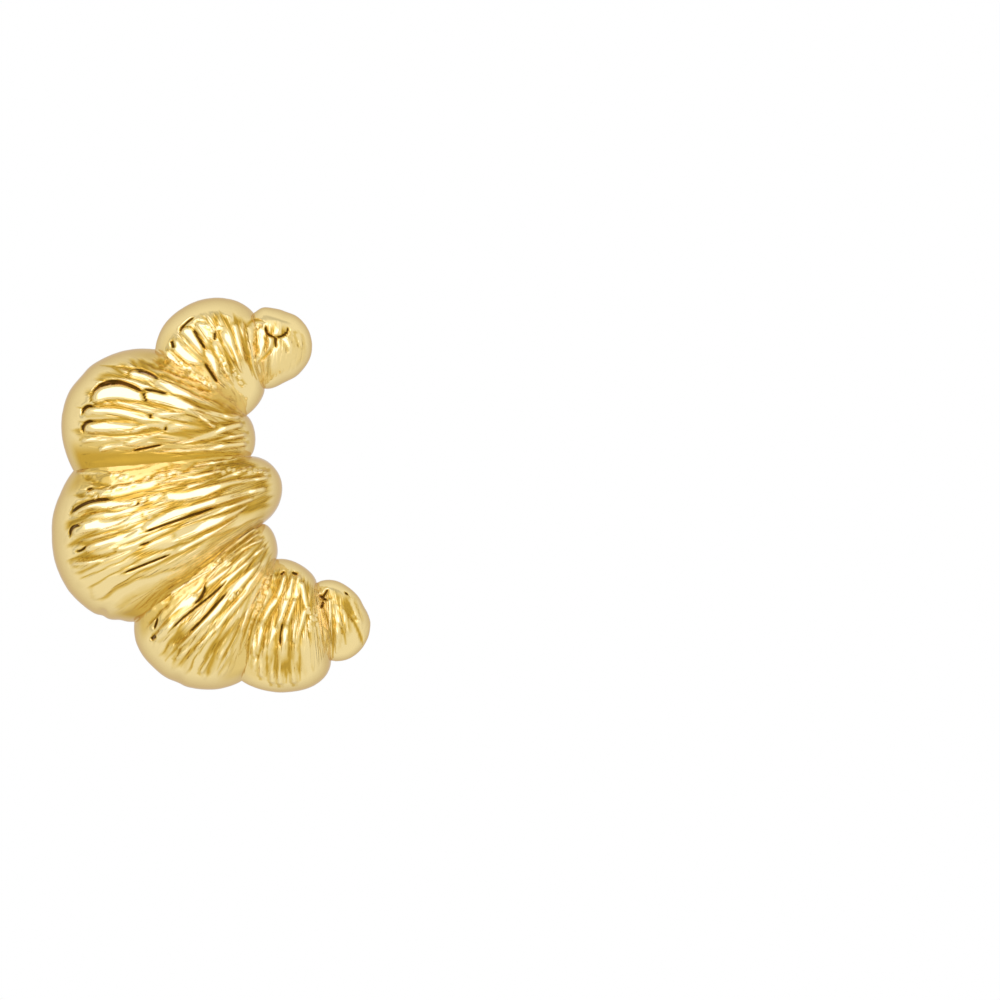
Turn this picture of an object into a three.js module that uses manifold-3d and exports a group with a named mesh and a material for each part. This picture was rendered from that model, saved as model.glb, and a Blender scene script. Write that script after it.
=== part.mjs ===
// A croissant-shaped stud earring for a pierced ear, in millimetres.
// The croissant is one solid casting: a relief of seven rolls that bends into a crescent, with a flat back.
// A pin with a round foot is soldered to the back, and a butterfly clutch of rolled sheet slides on the pin.
// +Z is up as worn, the relief faces -Y, and the pin runs along +Y through the lobe.
// The origin is the centre of the pin's foot, on the flat back.
import * as THREE from "three";
import { mergeVertices } from "three/addons/utils/BufferGeometryUtils.js";
import Module from "manifold-3d";

// ---- Driving dimensions ----

const SIDE_HEIGHT = 0.7; // from the flat back to the line where the croissant is widest
const BACK_INSET = 0.42; // how far the rounded back edge turns in, seen from behind
const ROUNDNESS = 2.3; // exponent of a roll's cross-section: 2 is an ellipse, more is boxier
const VALLEY_CORNER = 24; // degrees: 0 makes each roll a half-round bead, more makes it flatter

// The lines where neighbouring rolls meet, from the upper tip to the lower one: where each leaves the inside
// and the outside of the crescent, as x and z, and how far the valley's floor stands off the flat back.
const CREASES = [
  { inner: [2.8, 3.52], outer: [2.25, 6.62], depth: 1.5 },
  { inner: [2.08, 2.45], outer: [-1.65, 5.15], depth: 2.15 },
  { inner: [2.25, 0.8], outer: [-4.95, 0.2], depth: 3.1 },
  { inner: [2.7, -1.95], outer: [-2.5, -5.95], depth: 2.95 },
  { inner: [3.28, -3.38], outer: [1.88, -8.33], depth: 2.35 },
  { inner: [4.92, -4.35], outer: [5.5, -7.5], depth: 1.45 },
];

// The five rolls between the creases: the furthest point of each on the inside and the outside of the crescent,
// the corner angles of those two arcs in degrees, and how far the roll's crest stands off the flat back.
const ROLLS = [
  { inner: [2.6, 3.0], outer: [0.0, 7.08], corners: [40, 18], crest: 2.95 },
  { inner: [2.42, 1.65], outer: [-4.95, 3.72], corners: [20, 32], crest: 3.9 },
  { inner: [3.5, -0.3], outer: [-5.58, -3.88], corners: [16, 24], crest: 4.35 },
  { inner: [3.22, -2.45], outer: [-1.05, -8.28], corners: [16, 20], crest: 3.7 },
  { inner: [4.3, -3.64], outer: [4.22, -8.74], corners: [30, 24], crest: 2.95 },
];

// The two end rolls: the middle of each, its outermost point, and the angles that its inner and outer arcs
// sweep from there to the crease.
const UPPER_TIP = { centre: [3.12, 5.26], pole: [4.72, 5.2], sweeps: [98, 122], crest: 2.15 };
const LOWER_TIP = { centre: [5.75, -5.95], pole: [7.1, -5.95], sweeps: [112, 102], crest: 2.05 };

const PIN_RADIUS = 0.4;
const PIN_LENGTH = 11;
const FOOT_RADIUS = 1.5;
const FOOT_THICKNESS = 0.25;
const FILLET = 0.3; // solder fillet between the foot and the pin
const NOTCH_FROM_END = 1.2; // the ring cut near the pin's end, where the clutch clicks in
const NOTCH_DEPTH = 0.07;
const NOTCH_WIDTH = 0.45;

const LOBE_GAP = 5; // from the flat back to the clutch's plate as worn
const SHEET = 0.28; // thickness of the clutch's sheet
const PLATE_HALF_LENGTH = 2.6; // along Z as worn, from one scroll to the other
const PLATE_HALF_WIDTH = 1.8; // along X as worn
const CLUTCH_CLEARANCE = 0.05; // between the pin and the clutch's hole and scrolls
const SCROLL_RADIUS = 0.88; // of the scroll's outer turn, at the middle of the sheet
const SCROLL_INNER_RADIUS = 0.36; // where the sheet ends inside the scroll
const SCROLL_END = 400; // degrees that the sheet turns through, from where it leaves the plate

const STEPS_PER_ROLL = 9;
const STEPS_PER_FRONT = 20;
const STEPS_PER_EDGE = 3;
const STEPS_ACROSS_BACK = 3;
const PIN_SIDES = 28;

const wasm = await Module();
wasm.setup();

// ---- The croissant ----

// Height of an arc of a unit ellipse at t, from -1 to 1: it is 0 at both ends and 1 in the middle,
// and meets the ends more gently the larger the corner angle is.
function arch(t, cornerDegrees) {
  const corner = THREE.MathUtils.degToRad(cornerDegrees);
  const reach = Math.cos(corner);
  const base = Math.sin(corner);
  return (Math.sqrt(1 - (t * reach) ** 2) - base) / (1 - base);
}

// The point at t on an arc from start to end that passes through peak in the middle.
function lobePoint(t, start, end, peak, corner) {
  const rise = arch(t, corner);
  return [0, 1].map((k) => {
    const middle = (start[k] + end[k]) / 2;
    return middle + ((end[k] - start[k]) / 2) * t + (peak[k] - middle) * rise;
  });
}

// The point at t on a tip's outline: a quarter of an ellipse from its outermost point at -1 to its widest at 0,
// then on to the crease at 1.
function tipPoint(t, tip, sweepDegrees, creaseEnd) {
  const sweep = THREE.MathUtils.degToRad(sweepDegrees);
  const past = -Math.cos(sweep);
  const along = t < 0 ? t : t * past;
  return [0, 1].map((k) => {
    const reach = tip.pole[k] - tip.centre[k];
    const width = (creaseEnd[k] - tip.centre[k] + past * reach) / Math.sin(sweep);
    return tip.centre[k] - along * reach + Math.sqrt(Math.max(0, 1 - along ** 2)) * width;
  });
}

// One rib across the crescent: its ends on the two outlines, the crest's depth, and how far the back has
// closed in towards the widest line, which is 1 along the body and 0 at the very tip.
function tipRib(t, tip, crease) {
  const spread = t < 0 ? Math.sqrt(Math.max(0, 1 - t ** 2)) : 1;
  const depth =
    t < 0
      ? SIDE_HEIGHT + (tip.crest - SIDE_HEIGHT) * spread
      : crease.depth + (tip.crest - crease.depth) * arch(t, VALLEY_CORNER);
  const inner = tipPoint(t, tip, tip.sweeps[0], crease.inner);
  const outer = tipPoint(t, tip, tip.sweeps[1], crease.outer);
  return { inner, outer, depth, spread };
}

function rollRib(t, roll, before, after) {
  const floor = THREE.MathUtils.lerp(before.depth, after.depth, (t + 1) / 2);
  return {
    inner: lobePoint(t, before.inner, after.inner, roll.inner, roll.corners[0]),
    outer: lobePoint(t, before.outer, after.outer, roll.outer, roll.corners[1]),
    depth: floor + (roll.crest - floor) * arch(t, VALLEY_CORNER),
    spread: 1,
  };
}

// Ribs from the upper tip to the lower one, closer together towards each crease and each end.
function allRibs() {
  const ribs = [];
  for (let i = 1; i <= STEPS_PER_ROLL; i++) {
    const t = -Math.cos((Math.PI * i) / STEPS_PER_ROLL);
    ribs.push(tipRib(t, UPPER_TIP, CREASES[0]));
  }
  ROLLS.forEach((roll, r) => {
    for (let i = 1; i <= STEPS_PER_ROLL; i++) {
      const t = -Math.cos((Math.PI * i) / STEPS_PER_ROLL);
      ribs.push(rollRib(t, roll, CREASES[r], CREASES[r + 1]));
    }
  });
  for (let i = STEPS_PER_ROLL - 1; i >= 1; i--) {
    const t = -Math.cos((Math.PI * i) / STEPS_PER_ROLL);
    ribs.push(tipRib(t, LOWER_TIP, CREASES[CREASES.length - 1]));
  }
  return ribs;
}

// The closed section on a rib: over the front from the inside of the crescent to the outside,
// round the back edge, straight across the flat back, and round the other edge.
function ribSection(rib) {
  const half = Math.hypot(rib.outer[0] - rib.inner[0], rib.outer[1] - rib.inner[1]) / 2;
  const inset = Math.min(BACK_INSET, 0.3 * half) / half;
  const shape = 2 / ROUNDNESS;
  const back = -SIDE_HEIGHT * (1 - (1 - (1 - rib.spread) ** ROUNDNESS) ** (1 / ROUNDNESS));
  const section = [];
  for (let i = 0; i <= STEPS_PER_FRONT; i++) {
    const angle = (Math.PI * i) / STEPS_PER_FRONT;
    const across = -Math.sign(Math.cos(angle)) * Math.abs(Math.cos(angle)) ** shape;
    const rise = Math.max(0, Math.sin(angle)) ** shape;
    section.push([across, -SIDE_HEIGHT - (rib.depth - SIDE_HEIGHT) * rise]);
  }
  const edge = [];
  for (let i = 1; i <= STEPS_PER_EDGE; i++) {
    const angle = (Math.PI / 2) * (i / STEPS_PER_EDGE);
    const across = 1 - inset * (1 - Math.cos(angle));
    edge.push([across, i === STEPS_PER_EDGE ? back : -SIDE_HEIGHT + (SIDE_HEIGHT + back) * Math.sin(angle)]);
  }
  section.push(...edge);
  for (let i = 1; i < STEPS_ACROSS_BACK; i++) {
    section.push([(1 - inset) * (1 - (2 * i) / STEPS_ACROSS_BACK), back]);
  }
  edge.reverse().forEach(([across, y]) => section.push([-across, y]));
  return section.map(([across, y]) => {
    const share = (across + 1) / 2;
    return new THREE.Vector3(
      THREE.MathUtils.lerp(rib.inner[0], rib.outer[0], share),
      y,
      THREE.MathUtils.lerp(rib.inner[1], rib.outer[1], share),
    );
  });
}

// A closed skin over a row of closed sections, drawn to a point at both ends.
function loftGeometry(sections, startPoint, endPoint) {
  const around = sections[0].length;
  const points = [startPoint, ...sections.flat(), endPoint];
  const last = points.length - 1;
  const index = [];
  for (let j = 0; j < around; j++) {
    const next = (j + 1) % around;
    index.push(0, 1 + next, 1 + j);
    for (let i = 0; i + 1 < sections.length; i++) {
      const here = 1 + i * around;
      const there = here + around;
      index.push(here + j, here + next, there + next);
      index.push(here + j, there + next, there + j);
    }
    const end = 1 + (sections.length - 1) * around;
    index.push(last, end + j, end + next);
  }
  return new THREE.BufferGeometry().setFromPoints(points).setIndex(index);
}

function croissantGeometry() {
  const sections = allRibs().map(ribSection);
  const [start, end] = [UPPER_TIP, LOWER_TIP].map(
    (tip) => new THREE.Vector3(tip.pole[0], -SIDE_HEIGHT, tip.pole[1]),
  );
  return loftGeometry(sections, start, end);
}

// ---- The pin ----

// Half a section of the pin and its foot, from the centre of the foot to the centre of the rounded end.
function pinGeometry() {
  const footEdge = 0.06;
  const profile = [
    new THREE.Vector2(0, 0),
    new THREE.Vector2(FOOT_RADIUS, 0),
    new THREE.Vector2(FOOT_RADIUS, FOOT_THICKNESS - footEdge),
    new THREE.Vector2(FOOT_RADIUS - footEdge, FOOT_THICKNESS),
  ];
  for (let i = 0; i <= 4; i++) {
    const angle = (Math.PI / 2) * (i / 4);
    const radius = PIN_RADIUS + FILLET * (1 - Math.sin(angle));
    profile.push(new THREE.Vector2(radius, FOOT_THICKNESS + FILLET * (1 - Math.cos(angle))));
  }
  const notch = PIN_LENGTH - NOTCH_FROM_END;
  profile.push(
    new THREE.Vector2(PIN_RADIUS, notch - NOTCH_WIDTH / 2),
    new THREE.Vector2(PIN_RADIUS - NOTCH_DEPTH, notch - NOTCH_WIDTH / 6),
    new THREE.Vector2(PIN_RADIUS - NOTCH_DEPTH, notch + NOTCH_WIDTH / 6),
    new THREE.Vector2(PIN_RADIUS, notch + NOTCH_WIDTH / 2),
  );
  for (let i = 0; i < 5; i++) {
    const angle = (Math.PI / 2) * (i / 5);
    const height = PIN_LENGTH - PIN_RADIUS + PIN_RADIUS * Math.sin(angle);
    profile.push(new THREE.Vector2(PIN_RADIUS * Math.cos(angle), height));
  }
  profile.push(new THREE.Vector2(0, PIN_LENGTH));
  return new THREE.LatheGeometry(profile, PIN_SIDES);
}

// ---- The butterfly clutch ----

function solidOf(geometry) {
  const bare = geometry.clone();
  bare.deleteAttribute("normal");
  bare.deleteAttribute("uv");
  const merged = mergeVertices(bare);
  return new wasm.Manifold(
    new wasm.Mesh({
      numProp: 3,
      vertProperties: merged.attributes.position.array,
      triVerts: new Uint32Array(merged.index.array),
    }),
  );
}

function geometryOf(solid) {
  const mesh = solid.getMesh();
  const geometry = new THREE.BufferGeometry()
    .setAttribute("position", new THREE.BufferAttribute(mesh.vertProperties, 3))
    .setIndex(new THREE.BufferAttribute(mesh.triVerts, 1));
  geometry.computeVertexNormals();
  return geometry;
}

// The clutch is formed lying along X, and is turned upright when it is placed.
// The middle line of one half of the strip: along the plate, then round into a scroll whose first three
// quarters keep their radius and press on the pin, and whose end curls in. y is away from the lobe.
function scrollLine() {
  const centre = new THREE.Vector2(
    PIN_RADIUS + CLUTCH_CLEARANCE * 1.2 + SHEET / 2 + SCROLL_RADIUS,
    SHEET / 2 + SCROLL_RADIUS,
  );
  const line = [new THREE.Vector2(centre.x / 2, SHEET / 2)];
  const steps = 40;
  for (let i = 0; i <= steps; i++) {
    const turned = (SCROLL_END * i) / steps;
    const tighten = THREE.MathUtils.smoothstep(turned, 260, SCROLL_END);
    const radius = THREE.MathUtils.lerp(SCROLL_RADIUS, SCROLL_INNER_RADIUS, tighten);
    const angle = THREE.MathUtils.degToRad(turned - 90);
    line.push(new THREE.Vector2(Math.cos(angle), Math.sin(angle)).multiplyScalar(radius).add(centre));
  }
  return line;
}

// The strip's outline: the middle line of both halves, offset by half the sheet to either side.
function stripShape() {
  const right = scrollLine();
  const left = right.map((p) => new THREE.Vector2(-p.x, p.y)).reverse();
  const line = [...left, ...right];
  const offset = (side) =>
    line.map((p, i) => {
      const before = line[Math.max(0, i - 1)];
      const after = line[Math.min(line.length - 1, i + 1)];
      const along = after.clone().sub(before).normalize();
      return new THREE.Vector2(p.x - (along.y * side * SHEET) / 2, p.y + (along.x * side * SHEET) / 2);
    });
  return new THREE.Shape([...offset(-1), ...offset(1).reverse()]);
}

// The sheet seen along the pin: longer than it is wide, with full round corners.
function planShape() {
  const points = [];
  const steps = 48;
  for (let i = 0; i < steps; i++) {
    const angle = (2 * Math.PI * i) / steps;
    const x = Math.sign(Math.cos(angle)) * Math.abs(Math.cos(angle)) ** 0.75;
    const z = Math.sign(Math.sin(angle)) * Math.abs(Math.sin(angle)) ** 0.75;
    points.push(new THREE.Vector2(PLATE_HALF_LENGTH * x, PLATE_HALF_WIDTH * z));
  }
  return new THREE.Shape(points);
}

function clutchGeometry() {
  const width = 2 * PLATE_HALF_WIDTH + 1;
  const strip = new THREE.ExtrudeGeometry(stripShape(), { depth: width, bevelEnabled: false });
  strip.translate(0, 0, -width / 2);
  const height = 2 * SCROLL_RADIUS + SHEET + 2;
  const plan = new THREE.ExtrudeGeometry(planShape(), { depth: height, bevelEnabled: false });
  plan.rotateX(-Math.PI / 2).translate(0, -1, 0);
  const hole = new THREE.CylinderGeometry(
    PIN_RADIUS + CLUTCH_CLEARANCE,
    PIN_RADIUS + CLUTCH_CLEARANCE,
    4 * SHEET,
    PIN_SIDES,
  );
  return geometryOf(solidOf(strip).intersect(solidOf(plan)).subtract(solidOf(hole)));
}

// ---- The earring ----

function part(name, geometry, material) {
  const mesh = new THREE.Mesh(geometry, material);
  mesh.name = name;
  return mesh;
}

const polishedGold = new THREE.MeshStandardMaterial({ color: 0xe8c06a, roughness: 0.18, metalness: 1 });
const drawnGold = new THREE.MeshStandardMaterial({ color: 0xe6bf6c, roughness: 0.25, metalness: 1 });
const sheetGold = new THREE.MeshStandardMaterial({ color: 0xe6bf6c, roughness: 0.3, metalness: 1 });

const earring = new THREE.Group();
earring.add(part("croissant", croissantGeometry(), polishedGold));
earring.add(part("ear_pin", pinGeometry(), drawnGold));

const clutch = part("butterfly_clutch", clutchGeometry(), sheetGold);
clutch.position.y = LOBE_GAP;
clutch.rotation.y = Math.PI / 2;
earring.add(clutch);

export default earring;
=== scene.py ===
"""A croissant-shaped stud earring in polished gold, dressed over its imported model.

The croissant is one cast relief of seven rolls bent into a crescent. Its front is worked all over with
raised leaves and fine striations that fan out from the inside of each roll. Behind it are a pin with a round
foot and a butterfly clutch of rolled sheet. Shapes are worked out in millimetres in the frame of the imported
model, +Z up and the relief facing -Y, and go into the meshes in metres.
"""

import logging
import math
from dataclasses import dataclass, field
from enum import Enum

import bmesh
import bpy
import numpy as np
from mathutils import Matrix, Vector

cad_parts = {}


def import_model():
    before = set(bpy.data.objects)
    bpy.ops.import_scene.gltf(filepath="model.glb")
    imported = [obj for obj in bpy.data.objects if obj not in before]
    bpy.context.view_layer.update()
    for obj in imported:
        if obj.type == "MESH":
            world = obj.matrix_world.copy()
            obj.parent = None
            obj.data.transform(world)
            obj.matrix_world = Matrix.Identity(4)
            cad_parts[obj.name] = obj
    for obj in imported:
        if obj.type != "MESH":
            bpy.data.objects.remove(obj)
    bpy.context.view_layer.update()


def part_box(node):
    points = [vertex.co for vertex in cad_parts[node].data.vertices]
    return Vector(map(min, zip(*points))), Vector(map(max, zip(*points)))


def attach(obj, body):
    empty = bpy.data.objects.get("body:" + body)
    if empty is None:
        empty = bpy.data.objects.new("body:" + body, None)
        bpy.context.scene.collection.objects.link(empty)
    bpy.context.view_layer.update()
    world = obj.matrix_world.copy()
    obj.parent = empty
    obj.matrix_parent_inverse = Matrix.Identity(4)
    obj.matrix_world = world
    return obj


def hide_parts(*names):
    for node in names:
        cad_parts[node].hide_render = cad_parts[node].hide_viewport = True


MM = 0.001
Point = tuple[float, float]
Triple = tuple[float, float, float]
Colour = tuple[float, float, float]
Stop = tuple[float, Colour]
Socket = bpy.types.NodeSocket
log = logging.getLogger("croissant_stud")


# ---- Array helpers ----


def smoothstep(value: np.ndarray, low: float, high: float) -> np.ndarray:
    """Rises from 0 at low to 1 at high along 3x^2 - 2x^3."""
    x = np.clip((value - low) / (high - low), 0.0, 1.0)
    return x * x * (3.0 - 2.0 * x)


def blend(low: float, high: float, share: np.ndarray) -> np.ndarray:
    """The value a share of the way from low to high."""
    return low + (high - low) * share


def gradient_noise(x: np.ndarray, y: np.ndarray, seed: int) -> np.ndarray:
    """Smooth noise of about -1 to 1 with one wave per unit.

    Each lattice point has a random slope, and a value is the four nearest slopes' heights, blended by
    smoothstep and stretched to fill the range.

    Args:
        x: First coordinate of each sample.
        y: Second coordinate of each sample.
        seed: Chooses the random slopes.

    Returns:
        The noise, in the shape of x and y.
    """
    period, stretch = 128, 1.6
    turn = np.random.default_rng(seed).uniform(0.0, 2.0 * math.pi, (period, period))
    left, low = np.floor(x).astype(int), np.floor(y).astype(int)
    right_share, high_share = x - left, y - low
    blend_x = right_share**2 * (3.0 - 2.0 * right_share)
    blend_y = high_share**2 * (3.0 - 2.0 * high_share)

    def slope_height(step_x: int, step_y: int) -> np.ndarray:
        """Height at the samples of the slope that stands at one corner of their cells."""
        angle = turn[(left + step_x) % period, (low + step_y) % period]
        return np.cos(angle) * (right_share - step_x) + np.sin(angle) * (high_share - step_y)

    near = slope_height(0, 0) * (1.0 - blend_x) + slope_height(1, 0) * blend_x
    far = slope_height(0, 1) * (1.0 - blend_x) + slope_height(1, 1) * blend_x
    return stretch * (near * (1.0 - blend_y) + far * blend_y)


def flakes(x: np.ndarray, y: np.ndarray, seed: int) -> tuple[np.ndarray, np.ndarray, np.ndarray]:
    """Splits a plane into irregular cells, each the ground nearest to one random point per unit square.

    Args:
        x: First coordinate of each sample.
        y: Second coordinate of each sample.
        seed: Chooses the random points.

    Returns:
        How much further each sample's second-nearest point is than its nearest, which is 0 where cells
        meet; the sample's x from its nearest point; and two random numbers of its cell, along the last axis.
    """
    period, side_gap, far_away = 64, 0.1, 9.0
    dice = np.random.default_rng(seed).random((period, period, 4))
    left, low = np.floor(x).astype(int), np.floor(y).astype(int)
    nearest, second, offset = (np.full(x.shape, far_away) for _ in range(3))
    cell = np.zeros((*x.shape, 2))
    for step_x in (-1, 0, 1):
        for step_y in (-1, 0, 1):
            rolled = dice[(left + step_x) % period, (low + step_y) % period]
            from_x = x - (left + step_x + side_gap + (1.0 - 2.0 * side_gap) * rolled[..., 0])
            from_y = y - (low + step_y + rolled[..., 1])
            away = np.hypot(from_x, from_y)
            closer = away < nearest
            second = np.where(closer, nearest, np.minimum(second, away))
            nearest = np.where(closer, away, nearest)
            offset = np.where(closer, from_x, offset)
            cell = np.where(closer[..., None], rolled[..., 2:], cell)
    return second - nearest, offset, cell


def grid_normals(points: np.ndarray) -> np.ndarray:
    """Unit normals of a grid of points: the cross product of its two directions of travel.

    Args:
        points: Rows x columns x 3, the columns going round a closed loop.

    Returns:
        Rows x columns x 3 unit vectors.
    """
    along = np.gradient(points, axis=0)
    around = (np.roll(points, -1, axis=1) - np.roll(points, 1, axis=1)) / 2.0
    normals = np.cross(around, along)
    return normals / np.maximum(np.linalg.norm(normals, axis=2, keepdims=True), 1e-12)


def soften(values: np.ndarray, share: float) -> np.ndarray:
    """Rounds a grid of heights.

    Every inner value moves part of the way to its two neighbours' mean, first along the columns and then
    along the rows.

    Args:
        values: Rows x columns.
        share: How much of the way, 0 to 1.

    Returns:
        The rounded grid.
    """
    for _ in range(2):
        inner = (1.0 - share) * values[1:-1] + share * (values[:-2] + values[2:]) / 2.0
        values = np.vstack([values[:1], inner, values[-1:]]).T
    return values


def quarter(centre: Point, radius: float, start: float, end: float, steps: int) -> np.ndarray:
    """Points on an arc about a centre, from one angle in degrees to another."""
    angle = np.radians(np.linspace(start, end, steps))
    return np.array(centre) + radius * np.stack([np.cos(angle), np.sin(angle)], axis=1)


# ---- Mesh helpers ----


def skin(name: str, points: np.ndarray, ends: tuple[np.ndarray, np.ndarray]) -> bpy.types.Object:
    """Makes a closed tube of quads over rows of closed loops, drawn to a point at both ends.

    Args:
        name: The piece's name.
        points: Rows x columns x 3, in millimetres.
        ends: The point before the first row and the point after the last.

    Returns:
        The new object, at the origin, with smooth faces that point outwards.
    """
    rows, columns = points.shape[:2]
    vertices = np.vstack([ends[0], points.reshape(-1, 3), ends[1]]) * MM
    ring = np.arange(columns)
    following = (ring + 1) % columns
    starts = 1 + np.arange(rows - 1)[:, None] * columns
    corners = [starts + ring, starts + following, starts + columns + following, starts + columns + ring]
    quads = np.stack(corners, axis=-1).reshape(-1, 4)
    last_ring = 1 + (rows - 1) * columns
    last_point = np.full(columns, len(vertices) - 1)
    first_fan = np.stack([np.zeros(columns, int), 1 + following, 1 + ring], axis=-1)
    last_fan = np.stack([last_point, last_ring + ring, last_ring + following], axis=-1)
    mesh = bpy.data.meshes.new(name)
    mesh.from_pydata(vertices.tolist(), [], quads.tolist() + first_fan.tolist() + last_fan.tolist())
    mesh.shade_smooth()
    piece = bpy.data.objects.new(name, mesh)
    bpy.context.scene.collection.objects.link(piece)
    if signed_volume(mesh) < 0.0:
        mesh.flip_normals()
    return piece


def signed_volume(mesh: bpy.types.Mesh) -> float:
    """Adds up the tetrahedra between the origin and each triangle: a . (b x c) for its corners.

    Args:
        mesh: The mesh.

    Returns:
        Six times the volume inside, positive when the faces point outwards.
    """
    mesh.calc_loop_triangles()
    corners = np.zeros(len(mesh.loop_triangles) * 3, np.int32)
    mesh.loop_triangles.foreach_get("vertices", corners)
    places = np.zeros(len(mesh.vertices) * 3, np.float64)
    mesh.vertices.foreach_get("co", places)
    a, b, c = np.moveaxis(places.reshape(-1, 3)[corners.reshape(-1, 3)], 1, 0)
    return float(np.einsum("ij,ij->i", a, np.cross(b, c)).sum())


def paint(mesh: bpy.types.Mesh, name: str, values: np.ndarray) -> None:
    """Stores one number per vertex, which a material reads by name."""
    layer = mesh.attributes.new(name, "FLOAT", "POINT")
    layer.data.foreach_set("value", values.astype(np.float32))


def unwrap(mesh: bpy.types.Mesh, name: str, places: np.ndarray) -> None:
    """Stores two coordinates per vertex as a UV map.

    Args:
        mesh: The mesh.
        name: The map's name.
        places: One row of two coordinates per vertex.
    """
    corners = np.zeros(len(mesh.loops), np.int32)
    mesh.loops.foreach_get("vertex_index", corners)
    mesh.uv_layers.new(name=name).uv.foreach_set("vector", places[corners].astype(np.float32).ravel())


# ---- Finishes ----


class Tangle:
    """A material's or a group's node tree, with short ways to add and join nodes."""

    def __init__(self, tree: bpy.types.NodeTree) -> None:
        """Starts from the given tree."""
        self.tree = tree

    def add(self, kind: str, **settings: object) -> bpy.types.Node:
        """Adds a node.

        Args:
            kind: Blender's name for the kind of node.
            settings: Properties to set on it, by name.

        Returns:
            The node.
        """
        node = self.tree.nodes.new(kind)
        for key, value in settings.items():
            setattr(node, key, value)
        return node

    def join(self, source: Socket, target: Socket) -> None:
        """Links one socket to another."""
        self.tree.links.new(source, target)

    def math(self, operation: str, *values: float | Socket, clamp: bool = False) -> Socket:
        """Adds a Math node whose inputs are numbers or sockets.

        Args:
            operation: The node's operation, such as MULTIPLY.
            values: What goes into each input.
            clamp: Whether the result is kept from 0 to 1.

        Returns:
            The node's output.
        """
        node = self.add("ShaderNodeMath", operation=operation, use_clamp=clamp)
        for socket, value in zip(node.inputs, values):
            if isinstance(value, bpy.types.NodeSocket):
                self.join(value, socket)
            else:
                socket.default_value = value
        return node.outputs[0]

    def rise(self, value: Socket, start: float, steepness: float) -> Socket:
        """Steepness times how far a value is past start, kept from 0 to 1."""
        return self.math("MULTIPLY", self.math("SUBTRACT", value, start), steepness, clamp=True)

    def weigh(
        self, first: Socket, share: float | Socket, second: Socket, other_share: float | Socket
    ) -> Socket:
        """The sum of two values, each times its share."""
        weighed = self.math("MULTIPLY", first, share)
        return self.math("ADD", weighed, self.math("MULTIPLY", second, other_share))

    def ramp(self, value: Socket, stops: tuple[Stop, ...]) -> Socket:
        """Adds a colour ramp over a value from 0 to 1.

        Args:
            value: Where along the ramp to read the colour.
            stops: The ramp's places and their colours, in rising order.

        Returns:
            The colour.
        """
        node = self.add("ShaderNodeValToRGB")
        elements = node.color_ramp.elements
        while len(elements) < len(stops):
            elements.new(1.0)
        for element, (place, colour) in zip(elements, stops):
            element.position = place
            element.color = (*colour, 1.0)
        self.join(value, node.inputs[0])
        return node.outputs[0]

    def noise(self, vector: Socket, waves: Triple, detail: float, roughness: float = 0.5) -> Socket:
        """Adds a noise texture over stretched coordinates.

        Args:
            vector: The coordinates.
            waves: How many waves there are to a unit along each axis.
            detail: How many finer layers there are.
            roughness: How strong the finer layers are.

        Returns:
            The noise, from 0 to 1.
        """
        node = self.add("ShaderNodeTexNoise")
        node.inputs["Scale"].default_value = 1.0
        node.inputs["Detail"].default_value = detail
        node.inputs["Roughness"].default_value = roughness
        self.join(self.stretched(vector, waves), node.inputs["Vector"])
        return node.outputs[0]

    def stretched(self, vector: Socket, scale: Triple) -> Socket:
        """Scales coordinates.

        Args:
            vector: The coordinates.
            scale: A number for each axis.

        Returns:
            The scaled coordinates.
        """
        node = self.add("ShaderNodeMapping")
        node.inputs["Scale"].default_value = scale
        self.join(vector, node.inputs["Vector"])
        return node.outputs[0]

    def bump(self, height: Socket, distance: float, normal: Socket | None = None) -> Socket:
        """Adds a Bump node.

        Args:
            height: The height, from 0 to 1.
            distance: How high 1 is, in metres.
            normal: The normal under this bump, if it isn't the plain surface's.

        Returns:
            The new normal.
        """
        node = self.add("ShaderNodeBump")
        node.inputs["Strength"].default_value = 1.0
        node.inputs["Distance"].default_value = distance
        self.join(height, node.inputs["Height"])
        if normal is not None:
            self.join(normal, node.inputs["Normal"])
        return node.outputs["Normal"]


def polish_marks() -> bpy.types.NodeTree:
    """The marks that a polishing wheel and handling leave on plated gold.

    Its height mixes long hairlines with a soft orange-peel unevenness, and its haze says where the shine is
    duller.

    Returns:
        The shader node group, made the first time and used again after that.
    """
    name = "polish_marks"
    if name in bpy.data.node_groups:
        return bpy.data.node_groups[name]
    group = bpy.data.node_groups.new(name, "ShaderNodeTree")
    sockets = group.interface
    sockets.new_socket("Vector", in_out="INPUT", socket_type="NodeSocketVector")
    for label in ("Hairlines", "Unevenness"):
        sockets.new_socket(label, in_out="INPUT", socket_type="NodeSocketFloat").default_value = 0.5
    for label in ("Height", "Haze"):
        sockets.new_socket(label, in_out="OUTPUT", socket_type="NodeSocketFloat")
    web = Tangle(group)
    given = web.add("NodeGroupInput").outputs
    result = web.add("NodeGroupOutput").inputs
    hairs = web.noise(given["Vector"], (9000.0, 700.0, 2600.0), detail=2.0)
    swells = web.noise(given["Vector"], (1500.0, 1500.0, 1500.0), detail=2.0)
    haze = web.noise(given["Vector"], (350.0, 350.0, 350.0), detail=3.0, roughness=0.6)
    web.join(web.weigh(hairs, given["Hairlines"], swells, given["Unevenness"]), result["Height"])
    web.join(haze, result["Haze"])
    return group


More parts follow.
